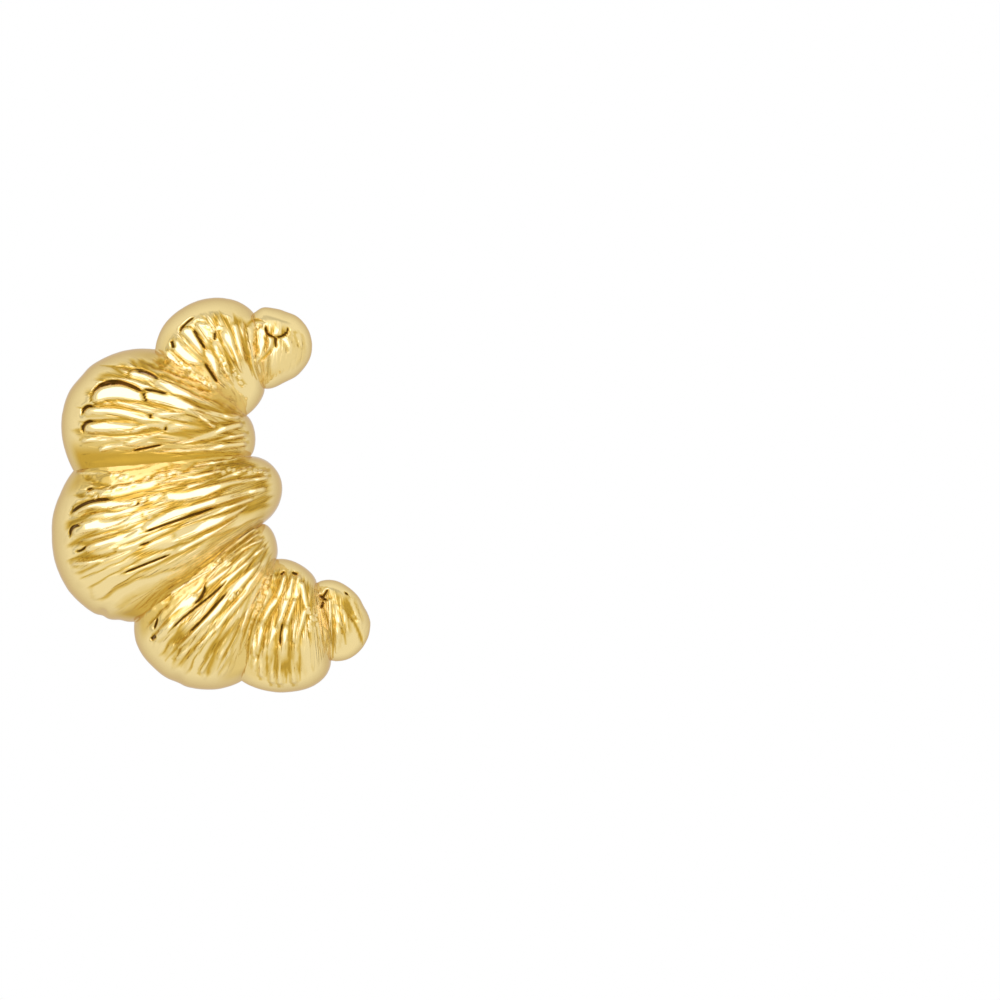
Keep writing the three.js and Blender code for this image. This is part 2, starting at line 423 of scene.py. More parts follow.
@dataclass(frozen=True)
class GoldFinish:
    """Yellow gold plate: a metal whose colour is deepened by painted shade in its hollows and whose shine has
    fine marks in it.

    Heights are in metres. The striations' waves are counted across and along the ribs, per millimetre.
    """

    name: str
    # Colours read off the painted shade: plain gold at 0, then amber and dark brown, which paint shade and
    # dark reflections into grooves, trenches and creases.
    shades: tuple[Stop, ...] = (
        (0.0, (0.95, 0.755, 0.355)),
        (0.3, (0.81, 0.585, 0.183)),
        (0.55, (0.64, 0.39, 0.05)),
        (0.82, (0.085, 0.036, 0.004)),
    )
    mirrored_colour: Colour = (0.88, 0.80, 0.55)
    edge_colour: Colour = (0.9, 0.76, 0.62)
    smooth: float = 0.06
    rough: float = 0.15
    hairlines: float = 0.35
    unevenness: float = 0.5
    mark_height: float = 0.000007
    haze_shade: float = 0.25
    striation_height: float = 0.000016
    striation_waves: Triple = (4.6, 0.9, 1.0)
    sliver_waves: Triple = (5.2, 0.75, 1.0)
    sliver_edge: float = 5.0
    grain_waves: Triple = (6.0, 4.0, 1.0)
    grain_share: float = 0.3
    dulling: float = 0.05

    def material(self, worked: bool = False) -> bpy.types.Material:
        """Builds the material.

        Gold that mirrors gold tints its light twice, which comes out too deep here. So rays that have
        bounced meet a paler colour than the camera does. It is a choice of look, not how gold behaves.

        Args:
            worked: Whether the piece carries the croissant's rib map and its painted-shade and polish
                attributes.

        Returns:
            The new material.
        """
        material = bpy.data.materials.new(self.name)
        material.use_nodes = True
        web = Tangle(material.node_tree)
        shader = material.node_tree.nodes["Principled BSDF"]
        shader.inputs["Metallic"].default_value = 1.0
        shader.inputs["Specular Tint"].default_value = (*self.edge_colour, 1.0)
        marks = web.add("ShaderNodeGroup", node_tree=polish_marks())
        marks.inputs["Hairlines"].default_value = self.hairlines
        marks.inputs["Unevenness"].default_value = self.unevenness
        web.join(web.add("ShaderNodeTexCoord").outputs["Object"], marks.inputs["Vector"])
        haze = marks.outputs["Haze"]
        normal = web.bump(marks.outputs["Height"], self.mark_height)
        roughness = web.math("MULTIPLY_ADD", haze, self.rough - self.smooth, self.smooth)
        # Plain pieces deepen their colour a little where the haze is. This is a random tone, not painted
        # shade.
        painted_shade = web.math("MULTIPLY", haze, self.haze_shade)
        if worked:
            polish = web.add("ShaderNodeAttribute", attribute_name="polish").outputs["Fac"]
            # Worked pieces read the painted shade that the relief and the engraving store on the croissant.
            painted_shade = web.add("ShaderNodeAttribute", attribute_name="painted_shade").outputs["Fac"]
            dull = web.math("SUBTRACT", 1.0, polish, clamp=True)
            striations = web.math("MULTIPLY", self.striations(web), dull)
            normal = web.bump(striations, self.striation_height, normal)
            roughness = web.math("MULTIPLY_ADD", dull, self.dulling, roughness)
        seen = web.add("ShaderNodeLightPath").outputs["Is Camera Ray"]
        colour = web.add("ShaderNodeMix", data_type="RGBA")
        factor, first, second = (colour.inputs[index] for index in (0, 6, 7))
        first.default_value = (*self.mirrored_colour, 1.0)
        # The camera sees the gold darkened by the painted shade along this ramp.
        web.join(web.ramp(painted_shade, self.shades), second)
        web.join(seen, factor)
        web.join(colour.outputs[2], shader.inputs["Base Color"])
        web.join(roughness, shader.inputs["Roughness"])
        web.join(normal, shader.inputs["Normal"])
        return material

    def striations(self, web: Tangle) -> Socket:
        """The finest tool marks along the ribs: soft waves, narrow slivers with sharp edges, and grains.

        Args:
            web: The material's nodes.

        Returns:
            The marks' height, from 0 to about 2.
        """
        ribs = web.add("ShaderNodeUVMap", uv_map="ribs").outputs["UV"]
        waves = web.noise(ribs, self.striation_waves, detail=1.0)
        grains = web.noise(ribs, self.grain_waves, detail=1.0)
        cells = web.add("ShaderNodeTexVoronoi", feature="DISTANCE_TO_EDGE", voronoi_dimensions="2D")
        cells.inputs["Scale"].default_value = 1.0
        web.join(web.stretched(ribs, self.sliver_waves), cells.inputs["Vector"])
        slivers = web.math("MULTIPLY", cells.outputs["Distance"], self.sliver_edge, clamp=True)
        return web.math("MULTIPLY_ADD", grains, self.grain_share, web.math("ADD", waves, slivers))


# ---- The croissant's front ----


class Mark(Enum):
    """What a stroke of the engraver leaves on the croissant's front."""

    LEAF = "a raised, flat-topped sliver with a blunt start and a trench round it"
    CUT = "a deep thin groove"
    RILL = "a shallow groove"
    BEADS = "a row of small round grains"


@dataclass(frozen=True)
class Stroke:
    """One mark placed on the front, along a line of two to four points, each an x and a z.

    A leaf's tail is the share of its length that narrows, and a groove's is the share that tapers at each
    end. A leaf's shade is how dark the painted shade and dark reflection in the trench along its upper side
    are, and another mark's is how dark the painted shade on its floor is.
    """

    mark: Mark
    width: float
    points: tuple[Point, ...]
    tail: float
    shade: float


def leaf(width: float, *points: Point, tail: float = 0.6, shade: float = 0.35) -> Stroke:
    """A raised leaf from its blunt start to its pointed end."""
    return Stroke(Mark.LEAF, width, points, tail=tail, shade=shade)


def cut(width: float, *points: Point, shade: float = 1.0) -> Stroke:
    """A deep thin groove."""
    return Stroke(Mark.CUT, width, points, tail=0.14, shade=shade)


def rill(width: float, *points: Point) -> Stroke:
    """A shallow groove."""
    return Stroke(Mark.RILL, width, points, tail=0.3, shade=0.6)


def beads(*points: Point) -> Stroke:
    """A row of small round grains."""
    return Stroke(Mark.BEADS, 0.3, points, tail=0.0, shade=0.48)


@dataclass
class Front:
    """The croissant's worked side: its points, the smooth points under them, and each point's polish and
    painted shade.
    """

    points: np.ndarray
    smooth: np.ndarray
    polish: np.ndarray
    painted_shade: np.ndarray


@dataclass
class Patch:
    """The part of the front that one stroke reaches.

    Near picks its points from the front's grid. Along is each point's place from 0 at the stroke's start to
    1 at its end, and across is how far it is from the stroke's line in millimetres, on the light's side.
    Lit is how much the line and its side point towards the light.
    """

    near: np.ndarray
    along: np.ndarray
    across: np.ndarray
    length: float
    lit: np.ndarray


@dataclass
class Engraving:
    """The marks placed one by one on the front, and the sizes of the tools that make them, in millimetres."""

    # How far round its line a stroke reaches, and how far past its ends its bend goes on, as a share.
    reach: float = 0.3
    overrun: float = 0.1
    # Leaves: their height, and their edges' fade from inside to outside.
    leaf_height: float = 0.045
    leaf_edge: Point = (-0.045, 0.015)
    blunt_share: float = 0.55
    tail_power: float = 0.55
    fewest_points: int = 12
    # Leaves turn towards the light, by this share, to lie at this slope, but never move far.
    light_side: Point = (-0.55, 0.83)
    light_slope: float = 0.3
    turn_to_light: float = 0.82
    most_turn: float = 0.15
    curve_kept: float = 0.5
    # The trench round a leaf: its depth, its distance from the leaf and its half width.
    trench_depth: float = 0.1
    trench_out: float = 0.075
    trench_half_width: float = 0.06
    trench_end: float = 0.75
    # How dark the painted shade in the trench is below the leaf and round its start, against its upper side.
    lower_shade: float = 0.6
    start_share: float = 0.3
    start_gain: float = 2.0
    start_loss: float = 0.3
    # Grooves: half widths and depths at the ends and in the middle, and a rill's depth, all as shares.
    groove_half_widths: Point = (0.2, 0.6)
    groove_end_depth: float = 0.5
    rill_depth: float = 0.55
    # Rows of grains, which sway from side to side, with painted shade on the ground between them.
    bead_pitch: float = 0.21
    bead_radius: float = 0.095
    bead_height: float = 0.07
    bead_sway: float = 0.06
    bead_sway_turn: float = 2.4
    bead_ground: float = 0.13
    strokes: tuple[Stroke, ...] = (
        # The upper tip: ridges beside the crease and a forked fold.
        leaf(0.18, (2.22, 6.0), (2.3, 5.4), (2.42, 4.7)),
        leaf(0.27, (2.7, 5.98), (2.72, 5.4), (2.62, 4.62), tail=0.7),
        leaf(0.15, (3.02, 5.72), (3.08, 5.4), (2.9, 4.95), tail=0.7),
        leaf(0.24, (3.5, 5.62), (3.82, 5.35), (3.9, 4.9)),
        leaf(0.14, (4.16, 5.75), (4.28, 5.45), (4.34, 5.1)),
        rill(0.12, (2.05, 5.9), (2.4, 6.28), (2.85, 6.2)),
        rill(0.11, (2.02, 6.1), (2.12, 5.3), (2.3, 4.5), (2.56, 3.85)),
        rill(0.09, (2.5, 6.0), (2.52, 5.3), (2.5, 4.62)),
        rill(0.07, (2.8, 5.7), (2.94, 5.3)),
        cut(0.11, (2.88, 6.1), (2.9, 5.86), (3.04, 5.68), (3.3, 5.6)),
        cut(0.11, (3.82, 6.06), (3.76, 5.84), (3.58, 5.66), (3.28, 5.6)),
        cut(0.12, (3.28, 5.64), (3.31, 5.15)),
        rill(0.11, (3.28, 5.24), (2.95, 4.9), (2.6, 4.6)),
        # The first roll: two broad leaves with dark edges, then upright bands.
        leaf(0.38, (-0.46, 5.92), (0.06, 5.45), (0.36, 4.86), tail=0.4, shade=0.6),
        leaf(0.44, (-0.84, 5.42), (-0.35, 4.85), (0.24, 4.5), tail=0.4, shade=0.3),
        leaf(0.2, (-1.1, 5.0), (-0.26, 4.15)),
        leaf(0.28, (0.53, 5.1), (0.8, 4.5), (1.04, 3.85), tail=0.4),
        leaf(0.28, (0.85, 5.4), (1.2, 4.6), (1.6, 3.7), tail=0.4),
        leaf(0.28, (1.22, 5.8), (1.6, 5.0), (1.95, 4.15), tail=0.4),
        leaf(0.2, (1.66, 6.1), (1.85, 5.3), (2.05, 4.6), tail=0.4),
        leaf(0.24, (0.15, 6.15), (0.45, 5.85), (0.62, 5.45), tail=0.4),
        leaf(0.18, (-0.3, 4.1), (0.4, 3.75), (0.75, 3.4)),
        cut(0.1, (-0.6, 5.78), (-0.42, 6.04), (0.02, 6.4)),
        cut(0.11, (-0.04, 5.94), (0.22, 5.5), (0.5, 5.06)),
        cut(0.14, (-0.92, 5.46), (-0.82, 5.14)),
        cut(0.12, (0.42, 4.58), (0.7, 4.14), (0.98, 3.72)),
        cut(0.1, (0.86, 5.8), (0.86, 5.44)),
        rill(0.1, (-0.9, 5.04), (-0.4, 4.6), (0.0, 4.25)),
        rill(0.12, (1.75, 6.2), (2.0, 5.4), (2.38, 4.0)),
        rill(0.09, (0.95, 5.3), (1.25, 4.6), (1.45, 4.1)),
        rill(0.09, (1.36, 5.4), (1.62, 4.8), (1.85, 4.2)),
        beads((1.1, 4.9), (1.25, 4.4), (1.4, 3.95)),
        beads((1.62, 4.3), (1.8, 3.95), (2.05, 3.6)),
        beads((0.4, 6.12), (0.8, 5.9), (1.2, 5.95)),
        beads((-0.75, 4.6), (0.05, 4.1), (0.85, 3.5)),
        # The second roll: the broadest leaf under a dark arc, and slimmer ones below it.
        leaf(0.54, (-4.04, 3.14), (-3.02, 3.36), (-1.9, 3.06), tail=0.3, shade=1.0),
        leaf(0.4, (-1.88, 3.24), (-1.02, 3.06), (0.05, 2.66), (1.1, 2.05), shade=0.5),
        leaf(0.24, (-2.52, 4.12), (-1.9, 3.99), (-1.4, 3.76), shade=0.8),
        leaf(0.3, (-1.5, 3.72), (-0.55, 3.38), (0.5, 2.95), shade=0.3),
        leaf(0.28, (-4.36, 2.58), (-3.15, 2.58), (-1.75, 2.25), shade=0.5),
        leaf(0.2, (-1.6, 2.38), (-0.9, 2.46), (-0.2, 2.5)),
        leaf(0.36, (-4.42, 1.92), (-3.4, 1.96), (-2.1, 1.96), shade=0.6),
        leaf(0.16, (-2.44, 1.74), (-1.8, 1.98), (-1.1, 2.0)),
        leaf(0.18, (-0.98, 1.94), (-0.1, 2.02)),
        leaf(0.16, (-2.66, 1.26), (-1.9, 1.5), (-1.1, 1.78)),
        leaf(0.18, (-3.8, 1.02), (-3.3, 1.16), (-2.7, 1.26)),
        leaf(0.18, (-4.5, 1.4), (-3.9, 1.45), (-3.2, 1.5)),
        leaf(0.22, (1.95, 2.06), (1.02, 1.78), (0.23, 1.5), (-0.9, 1.3)),
        leaf(0.2, (1.85, 2.36), (1.0, 2.44), (0.1, 2.6)),
        leaf(0.2, (2.1, 1.28), (0.3, 1.08), (-1.5, 0.95), shade=0.3),
        leaf(0.16, (2.1, 1.66), (1.4, 1.52), (0.4, 1.3)),
        leaf(0.16, (0.9, 1.92), (0.5, 2.25), (-0.1, 2.66), tail=0.4),
        rill(0.1, (0.5, 2.14), (1.2, 2.1), (1.9, 2.22)),
        rill(0.09, (0.9, 1.4), (1.5, 1.42), (2.1, 1.5)),
        cut(0.18, (-4.2, 3.18), (-3.78, 3.6), (-2.8, 3.72), (-1.86, 3.3)),
        cut(0.12, (-1.96, 3.4), (-1.93, 3.18), (-1.8, 2.94)),
        cut(0.1, (-2.0, 3.46), (-1.55, 3.4), (-1.0, 3.26)),
        rill(0.12, (-0.9, 3.36), (0.0, 2.94), (0.67, 2.7), (1.6, 2.4)),
        cut(0.1, (-2.3, 4.2), (-1.82, 4.1), (-1.36, 3.84)),
        cut(0.15, (-4.5, 2.44), (-4.36, 2.73), (-3.98, 2.79)),
        cut(0.15, (-4.46, 1.7), (-4.38, 2.06), (-3.96, 2.2)),
        rill(0.11, (-4.2, 2.8), (-3.2, 2.78), (-1.75, 2.44)),
        rill(0.11, (-4.1, 2.2), (-3.0, 2.24), (-1.9, 2.14)),
        rill(0.12, (-4.3, 1.66), (-3.0, 1.62), (-1.2, 1.84)),
        cut(0.14, (-1.76, 2.48), (-1.6, 2.26)),
        cut(0.13, (-1.14, 1.95), (-1.0, 1.8)),
        cut(0.1, (-2.46, 1.0), (-1.2, 1.24)),
        rill(0.11, (-0.7, 1.22), (0.23, 1.32), (1.11, 1.52), (1.86, 1.9)),
        rill(0.1, (-3.8, 4.46), (-2.9, 4.36), (-2.0, 4.3)),
        rill(0.1, (-1.9, 2.98), (-1.2, 2.82), (-0.3, 2.6)),
        # The third roll: wavy leaves that start dark at the outside, and one long dark cut.
        leaf(0.3, (-4.85, -1.5), (-3.97, -1.18), (-3.1, -1.16), (-1.8, -0.8), shade=0.5),
        leaf(0.4, (-4.86, -2.3), (-4.2, -2.06), (-3.4, -1.96), (-2.5, -1.62), shade=0.4),
        leaf(0.3, (-4.3, -3.0), (-3.7, -2.76), (-2.9, -2.48), (-2.1, -2.1), shade=0.4),
        leaf(0.32, (-1.9, -2.12), (-1.0, -1.66), (0.95, -1.02), (2.5, -0.62), tail=0.3),
        leaf(0.34, (-1.14, -0.86), (-0.1, -0.8), (1.0, -0.5), (2.45, -0.16), tail=0.4, shade=0.35),
        leaf(0.2, (2.9, -0.54), (2.2, -0.68), (1.5, -0.86)),
        leaf(0.16, (3.0, -0.08), (2.5, -0.16), (1.9, -0.28)),
        leaf(0.14, (2.95, 0.16), (2.5, 0.1), (1.9, -0.06)),
        leaf(0.16, (-4.85, -3.58), (-3.9, -3.46), (-2.3, -2.84)),
        leaf(0.14, (-3.0, -3.0), (-2.3, -2.8), (-1.5, -2.5)),
        leaf(0.34, (-0.65, -2.44), (0.1, -2.14), (1.1, -1.8), (2.2, -1.2), tail=0.5),
        leaf(0.18, (-0.6, -2.96), (0.67, -2.4), (1.95, -1.55)),
        leaf(0.17, (2.4, -0.94), (0.9, -1.5), (-0.5, -2.05)),
        leaf(0.17, (2.35, 0.32), (1.6, 0.02), (0.76, -0.26)),
        leaf(0.16, (1.15, 0.19), (-0.2, -0.12), (-1.5, -0.3)),
        rill(0.09, (1.9, -0.2), (2.5, 0.0), (2.95, 0.04)),
        rill(0.09, (1.0, -1.3), (1.9, -1.0), (2.6, -0.74)),
        leaf(0.14, (-0.2, -0.44), (0.5, -0.3)),
        leaf(0.12, (0.0, 0.36), (1.2, 0.58), (1.85, 0.69)),
        leaf(0.16, (-3.15, -0.5), (-2.6, -0.4)),
        leaf(0.16, (-2.15, -0.4), (-1.7, -0.28)),
        leaf(0.1, (-4.64, 0.1), (-3.4, 0.08)),
        leaf(0.12, (-2.85, -3.9), (-1.9, -3.5)),
        cut(0.15, (-4.98, -1.56), (-4.4, -1.16), (-3.9, -1.0), (-3.2, -0.98)),
        cut(0.1, (-2.5, -1.25), (-1.8, -0.97)),
        cut(0.16, (-4.98, -2.52), (-4.9, -2.14), (-4.48, -2.0)),
        cut(0.1, (-4.75, -3.05), (-4.45, -2.98), (-4.25, -2.8)),
        cut(0.11, (-2.1, -2.34), (-0.8, -1.88), (1.14, -1.2)),
        rill(0.1, (0.9, -1.28), (1.7, -1.0), (2.45, -0.78)),
        cut(0.1, (-2.86, -3.96), (-0.8, -3.14)),
        cut(0.09, (-2.1, -2.8), (-1.7, -2.68)),
        cut(0.09, (-4.32, -0.66), (-4.2, -0.55), (-4.0, -0.52)),
        rill(0.1, (-4.6, -1.72), (-3.9, -1.44), (-3.1, -1.42), (-2.5, -1.2)),
        rill(0.1, (-4.9, -2.9), (-4.0, -2.4), (-3.1, -2.2), (-2.4, -1.86)),
        rill(0.1, (-4.2, -2.76), (-3.4, -2.5), (-2.3, -2.2)),
        rill(0.1, (-5.0, -3.4), (-4.3, -3.4), (-3.4, -3.1)),
        rill(0.11, (-1.2, -0.64), (0.2, -0.5), (1.55, 0.15), (2.2, 0.36)),
        rill(0.1, (-0.65, -1.1), (0.45, -0.92), (1.3, -0.52), (2.45, -0.32)),
        rill(0.1, (-1.3, -1.5), (0.3, -1.06), (1.4, -0.72)),
        rill(0.1, (-0.7, -2.7), (0.2, -2.44), (1.4, -1.86), (2.2, -1.4)),
        beads((-4.3, -0.7), (-3.6, -0.86)),
        beads((-3.6, -0.62), (-2.9, -0.5), (-2.0, -0.28)),
        beads((-3.3, 0.06), (-2.4, -0.14)),
        beads((-2.0, -0.2), (-1.2, -0.02), (-0.4, 0.2)),
        beads((0.8, 0.14), (2.0, 0.2), (3.0, 0.12)),
        beads((-2.5, -1.2), (-1.9, -1.0), (-1.2, -0.84)),
        beads((-2.1, -1.62), (-1.4, -1.54)),
        # The fourth roll: long ribbons between dark lines, and a fan of grooves below them.
        leaf(0.42, (0.16, -4.88), (-0.57, -5.48), (-1.42, -6.3), tail=0.6, shade=0.3),
        leaf(0.26, (-1.6, -6.6), (-0.55, -5.86), (0.9, -4.78), tail=0.4),
        leaf(0.2, (-0.66, -6.95), (0.26, -6.12), (1.08, -5.26), (1.85, -4.4), tail=0.3),
        leaf(0.26, (1.14, -4.42), (1.86, -3.85), (2.44, -3.26), tail=0.3),
        leaf(0.28, (1.4, -4.74), (2.1, -4.16), (2.72, -3.48), tail=0.3),
        leaf(0.14, (1.86, -4.84), (2.36, -4.3), (2.84, -3.6), tail=0.3),
        leaf(0.18, (0.42, -4.5), (1.0, -4.1), (1.6, -3.6), tail=0.3),
        leaf(0.13, (1.94, -6.25), (2.24, -5.4), (2.6, -4.3)),
        leaf(0.14, (0.9, -6.26), (1.62, -5.35), (2.34, -4.55), tail=0.3),
        leaf(0.13, (0.1, -6.95), (0.6, -6.5), (1.3, -5.7)),
        leaf(0.13, (0.3, -7.95), (0.9, -7.1), (1.5, -6.4)),
        leaf(0.12, (-0.7, -7.4), (-0.1, -6.9), (0.4, -6.35)),
        leaf(0.12, (1.05, -7.35), (1.4, -6.8), (1.7, -6.3)),
        leaf(0.15, (2.5, -2.16), (1.7, -2.72), (0.8, -3.5)),
        leaf(0.17, (2.76, -2.58), (2.0, -3.0), (1.4, -3.45)),
        leaf(0.12, (2.6, -2.36), (2.1, -2.7), (1.5, -3.2)),
        leaf(0.14, (2.86, -2.9), (2.6, -3.1), (2.2, -3.5)),
        beads((0.05, -4.2), (0.9, -3.62), (1.7, -3.02)),
        beads((1.5, -5.0), (2.0, -4.6)),
        beads((3.15, -3.95), (2.76, -4.62), (2.49, -5.53), (2.1, -6.3)),
        rill(0.08, (1.0, -3.5), (1.9, -2.76), (2.6, -2.28)),
        rill(0.08, (1.7, -3.35), (2.3, -2.88), (2.8, -2.7)),
        leaf(0.14, (-0.9, -4.75), (0.0, -4.2), (0.8, -3.75)),
        cut(0.12, (0.5, -4.28), (0.42, -4.74), (0.02, -5.2)),
        cut(0.095, (-1.0, -6.34), (-0.33, -5.68), (0.4, -5.1), (1.4, -4.2)),
        cut(0.105, (-0.28, -6.42), (0.41, -5.78), (0.96, -5.18), (1.46, -4.64)),
        rill(0.09, (-0.95, -6.88), (-0.3, -6.4)),
        cut(0.16, (-1.72, -6.62), (-1.5, -6.44)),
        cut(0.1, (-1.6, -6.2), (-1.5, -5.95), (-1.44, -5.7)),
        rill(0.1, (-1.55, -6.36), (-0.9, -5.72), (-0.2, -5.24)),
        rill(0.1, (1.0, -4.75), (1.6, -4.2), (2.3, -3.5)),
        rill(0.1, (-1.17, -7.5), (-0.62, -6.9), (0.2, -6.1)),
        rill(0.1, (-0.53, -7.73), (0.11, -6.9), (0.9, -6.1)),
        rill(0.1, (0.386, -8.0), (1.21, -6.63), (1.85, -5.72)),
        rill(0.1, (0.6, -6.1), (1.6, -5.1), (2.2, -4.4)),
        rill(0.1, (0.9, -7.9), (1.5, -6.8), (2.1, -5.6)),
        rill(0.09, (1.9, -7.0), (2.2, -6.0), (2.6, -5.0)),
        # The fifth roll: upright crooked ridges.
        leaf(0.18, (3.66, -4.02), (3.52, -4.53), (3.28, -5.1), tail=0.3),
        leaf(0.2, (3.34, -4.98), (2.98, -5.5), (2.68, -6.1), tail=0.3),
        leaf(0.17, (2.74, -5.95), (2.68, -6.5), (2.52, -7.2), tail=0.4),
        leaf(0.15, (2.5, -7.25), (2.4, -7.95)),
        leaf(0.2, (4.0, -4.06), (3.92, -4.53), (3.72, -5.1), tail=0.3),
        leaf(0.2, (3.78, -5.0), (3.6, -5.55), (3.3, -6.15), tail=0.3),
        leaf(0.18, (3.36, -6.1), (3.1, -6.7), (3.05, -7.1)),
        leaf(0.22, (4.22, -4.02), (4.21, -4.53), (4.05, -5.1), tail=0.3),
        leaf(0.18, (4.1, -5.0), (3.88, -5.6), (3.74, -6.15), tail=0.3),
        leaf(0.16, (3.76, -6.1), (3.66, -6.7), (3.58, -7.2)),
        leaf(0.18, (4.36, -4.3), (4.47, -4.9), (4.54, -5.4), tail=0.4),
        leaf(0.16, (4.52, -5.4), (4.38, -5.9), (4.2, -6.7)),
        leaf(0.13, (4.04, -6.7), (4.08, -6.2), (4.22, -5.6)),
        leaf(0.13, (2.72, -8.15), (2.7, -7.6), (2.76, -7.0)),
        leaf(0.13, (3.16, -8.4), (3.16, -7.8), (3.24, -7.2)),
        leaf(0.13, (3.48, -8.45), (3.46, -7.9), (3.5, -7.3)),
        leaf(0.13, (4.05, -8.4), (4.0, -7.9), (3.96, -7.4)),
        leaf(0.12, (2.45, -7.3), (2.42, -6.6), (2.6, -5.8)),
        beads((2.6, -5.0), (2.75, -5.4), (2.5, -6.0)),
        beads((3.0, -4.3), (2.8, -4.9)),
        beads((4.62, -5.3), (4.72, -5.8), (4.66, -6.3)),
        beads((4.92, -5.6), (4.95, -6.1)),
        cut(0.09, (3.62, -5.9), (3.5, -6.5), (3.52, -6.9)),
        cut(0.09, (3.48, -4.02), (3.66, -3.88)),
        cut(0.11, (3.94, -3.9), (4.2, -4.02)),
        rill(0.1, (3.7, -4.2), (3.5, -5.0), (3.05, -5.8), (2.8, -7.0)),
        rill(0.1, (4.0, -4.4), (3.9, -5.2), (3.65, -5.9), (3.36, -6.9)),
        rill(0.1, (3.4, -4.2), (3.1, -5.0), (2.7, -5.7), (2.5, -6.6)),
        rill(0.1, (2.96, -6.96), (2.94, -8.3)),
        rill(0.1, (3.34, -7.1), (3.32, -8.36)),
        rill(0.1, (3.72, -7.3), (3.72, -8.4)),
        rill(0.1, (4.3, -6.9), (4.27, -8.3)),
        rill(0.1, (2.2, -7.7), (2.3, -6.4), (2.8, -5.2)),
        # The lower tip: ridges and a knotted hollow.
        leaf(0.15, (5.74, -5.2), (5.8, -6.1), (5.72, -7.2), tail=0.4),
        leaf(0.16, (5.98, -5.4), (6.14, -5.9), (6.2, -6.5)),
        leaf(0.17, (6.3, -4.98), (6.52, -5.5), (6.76, -6.05)),
        leaf(0.13, (5.46, -5.0), (5.5, -5.6), (5.42, -6.3)),
        cut(0.1, (5.4, -4.6), (5.13, -5.02)),
        cut(0.1, (5.04, -4.84), (5.36, -5.06)),
        cut(0.11, (5.22, -5.1), (5.12, -5.38)),
        cut(0.12, (6.0, -5.24), (6.36, -5.76), (6.65, -6.35), (6.8, -6.86), shade=0.62),
        cut(0.09, (6.08, -4.72), (6.2, -4.84)),
        rill(0.1, (5.58, -5.3), (5.62, -6.3), (5.56, -7.4)),
        rill(0.1, (5.8, -5.9), (6.05, -6.4), (6.12, -6.85)),
    )

    def carve(self, front: Front) -> None:
        """Makes every mark in turn. Points move along Y only.

        Args:
            front: The front, changed in place.
        """
        tools = {
            Mark.LEAF: self.raise_leaf,
            Mark.CUT: self.cut_groove,
            Mark.RILL: self.cut_groove,
            Mark.BEADS: self.set_grains,
        }
        for stroke in self.strokes:
            tools[stroke.mark](front, stroke, self.patch(front, stroke))

    def patch(self, front: Front, stroke: Stroke) -> Patch:
        """Finds the points that a stroke reaches and where they are on it.

        Its line is the chord from its start to its end, bent by the polynomial through its points.

        Args:
            front: The front so far.
            stroke: The stroke.

        Returns:
            Its patch of the front.
        """
        light_side = np.array(self.light_side)
        start, end = np.array(stroke.points[0]), np.array(stroke.points[-1])
        length = float(np.linalg.norm(end - start))
        line = (end - start) / length
        side = np.array([-line[1], line[0]])
        side = side if side @ light_side > 0.0 else -side
        knots = (np.array(stroke.points) - start) @ np.stack([line / length, side], axis=1)
        bend = np.polyfit(knots[:, 0], knots[:, 1], len(knots) - 1)
        away = front.points[:, :, (0, 2)] - start
        along = away @ line / length
        across = away @ side - np.polyval(bend, np.clip(along, -self.overrun, 1.0 + self.overrun))
        reach = self.reach / length
        near = (along > -reach) & (along < 1.0 + 0.5 * reach)
        near &= np.abs(across) < 0.5 * stroke.width + self.reach
        lit = np.array([light_side @ line, light_side @ side])
        return Patch(near, along[near], across[near], length, lit)

    def set_grains(self, front: Front, stroke: Stroke, patch: Patch) -> None:
        """Sets a row of half balls along a stroke, swaying a little, with painted shade on the ground between
        them.

        A grain's height is that of a circle, the root of 1 - (distance / radius)^2, and the painted shade on
        the ground falls off as exp(-v^4) across the line.

        Args:
            front: The front, changed in place.
            stroke: The stroke.
            patch: The points that it reaches.
        """
        u, v = patch.along, patch.across
        place = np.round(u * patch.length / self.bead_pitch)
        from_middle = u * patch.length - place * self.bead_pitch
        off_line = v - self.bead_sway * np.sin(self.bead_sway_turn * place)
        away_square = from_middle**2 + off_line**2
        on_line = (u >= 0.0) & (u <= 1.0)
        dome = np.sqrt(np.clip(1.0 - away_square / self.bead_radius**2, 0.0, 1.0)) * on_line
        ground = np.exp(-((v / self.bead_ground) ** 4)) * on_line
        front.points[patch.near, 1] -= self.bead_height * dome
        # Painted shade on the ground between the grains, and none on the grains.
        darkened = np.maximum(front.painted_shade[patch.near], stroke.shade * ground)
        front.painted_shade[patch.near] = np.where(dome > 0.0, 0.0, darkened)
        front.polish[patch.near] = np.maximum(front.polish[patch.near], dome)

    def cut_groove(self, front: Front, stroke: Stroke, patch: Patch) -> None:
        """Sinks a groove along a stroke: exp(-v^4) across it, narrower and shallower towards both ends, with
        painted shade and dark reflection on its floor.

        Args:
            front: The front, changed in place.
            stroke: The stroke.
            patch: The points that it reaches.
        """
        u, v = patch.along, patch.across
        taper = np.clip(np.minimum(u, 1.0 - u) / stroke.tail, 0.0, 1.0)
        half_width = stroke.width * blend(*self.groove_half_widths, taper)
        groove = np.exp(-((v / half_width) ** 4)) * (u > 0.0) * (u < 1.0)
        groove = groove * blend(self.groove_end_depth, 1.0, taper)
        depth = self.trench_depth * (1.0 if stroke.mark is Mark.CUT else self.rill_depth)
        front.points[patch.near, 1] += depth * groove
        # Painted shade and dark reflection on the groove's floor, as dark as the stroke's shade.
        front.painted_shade[patch.near] = np.maximum(front.painted_shade[patch.near], stroke.shade * groove)
        front.polish[patch.near] = np.maximum(front.polish[patch.near], groove)

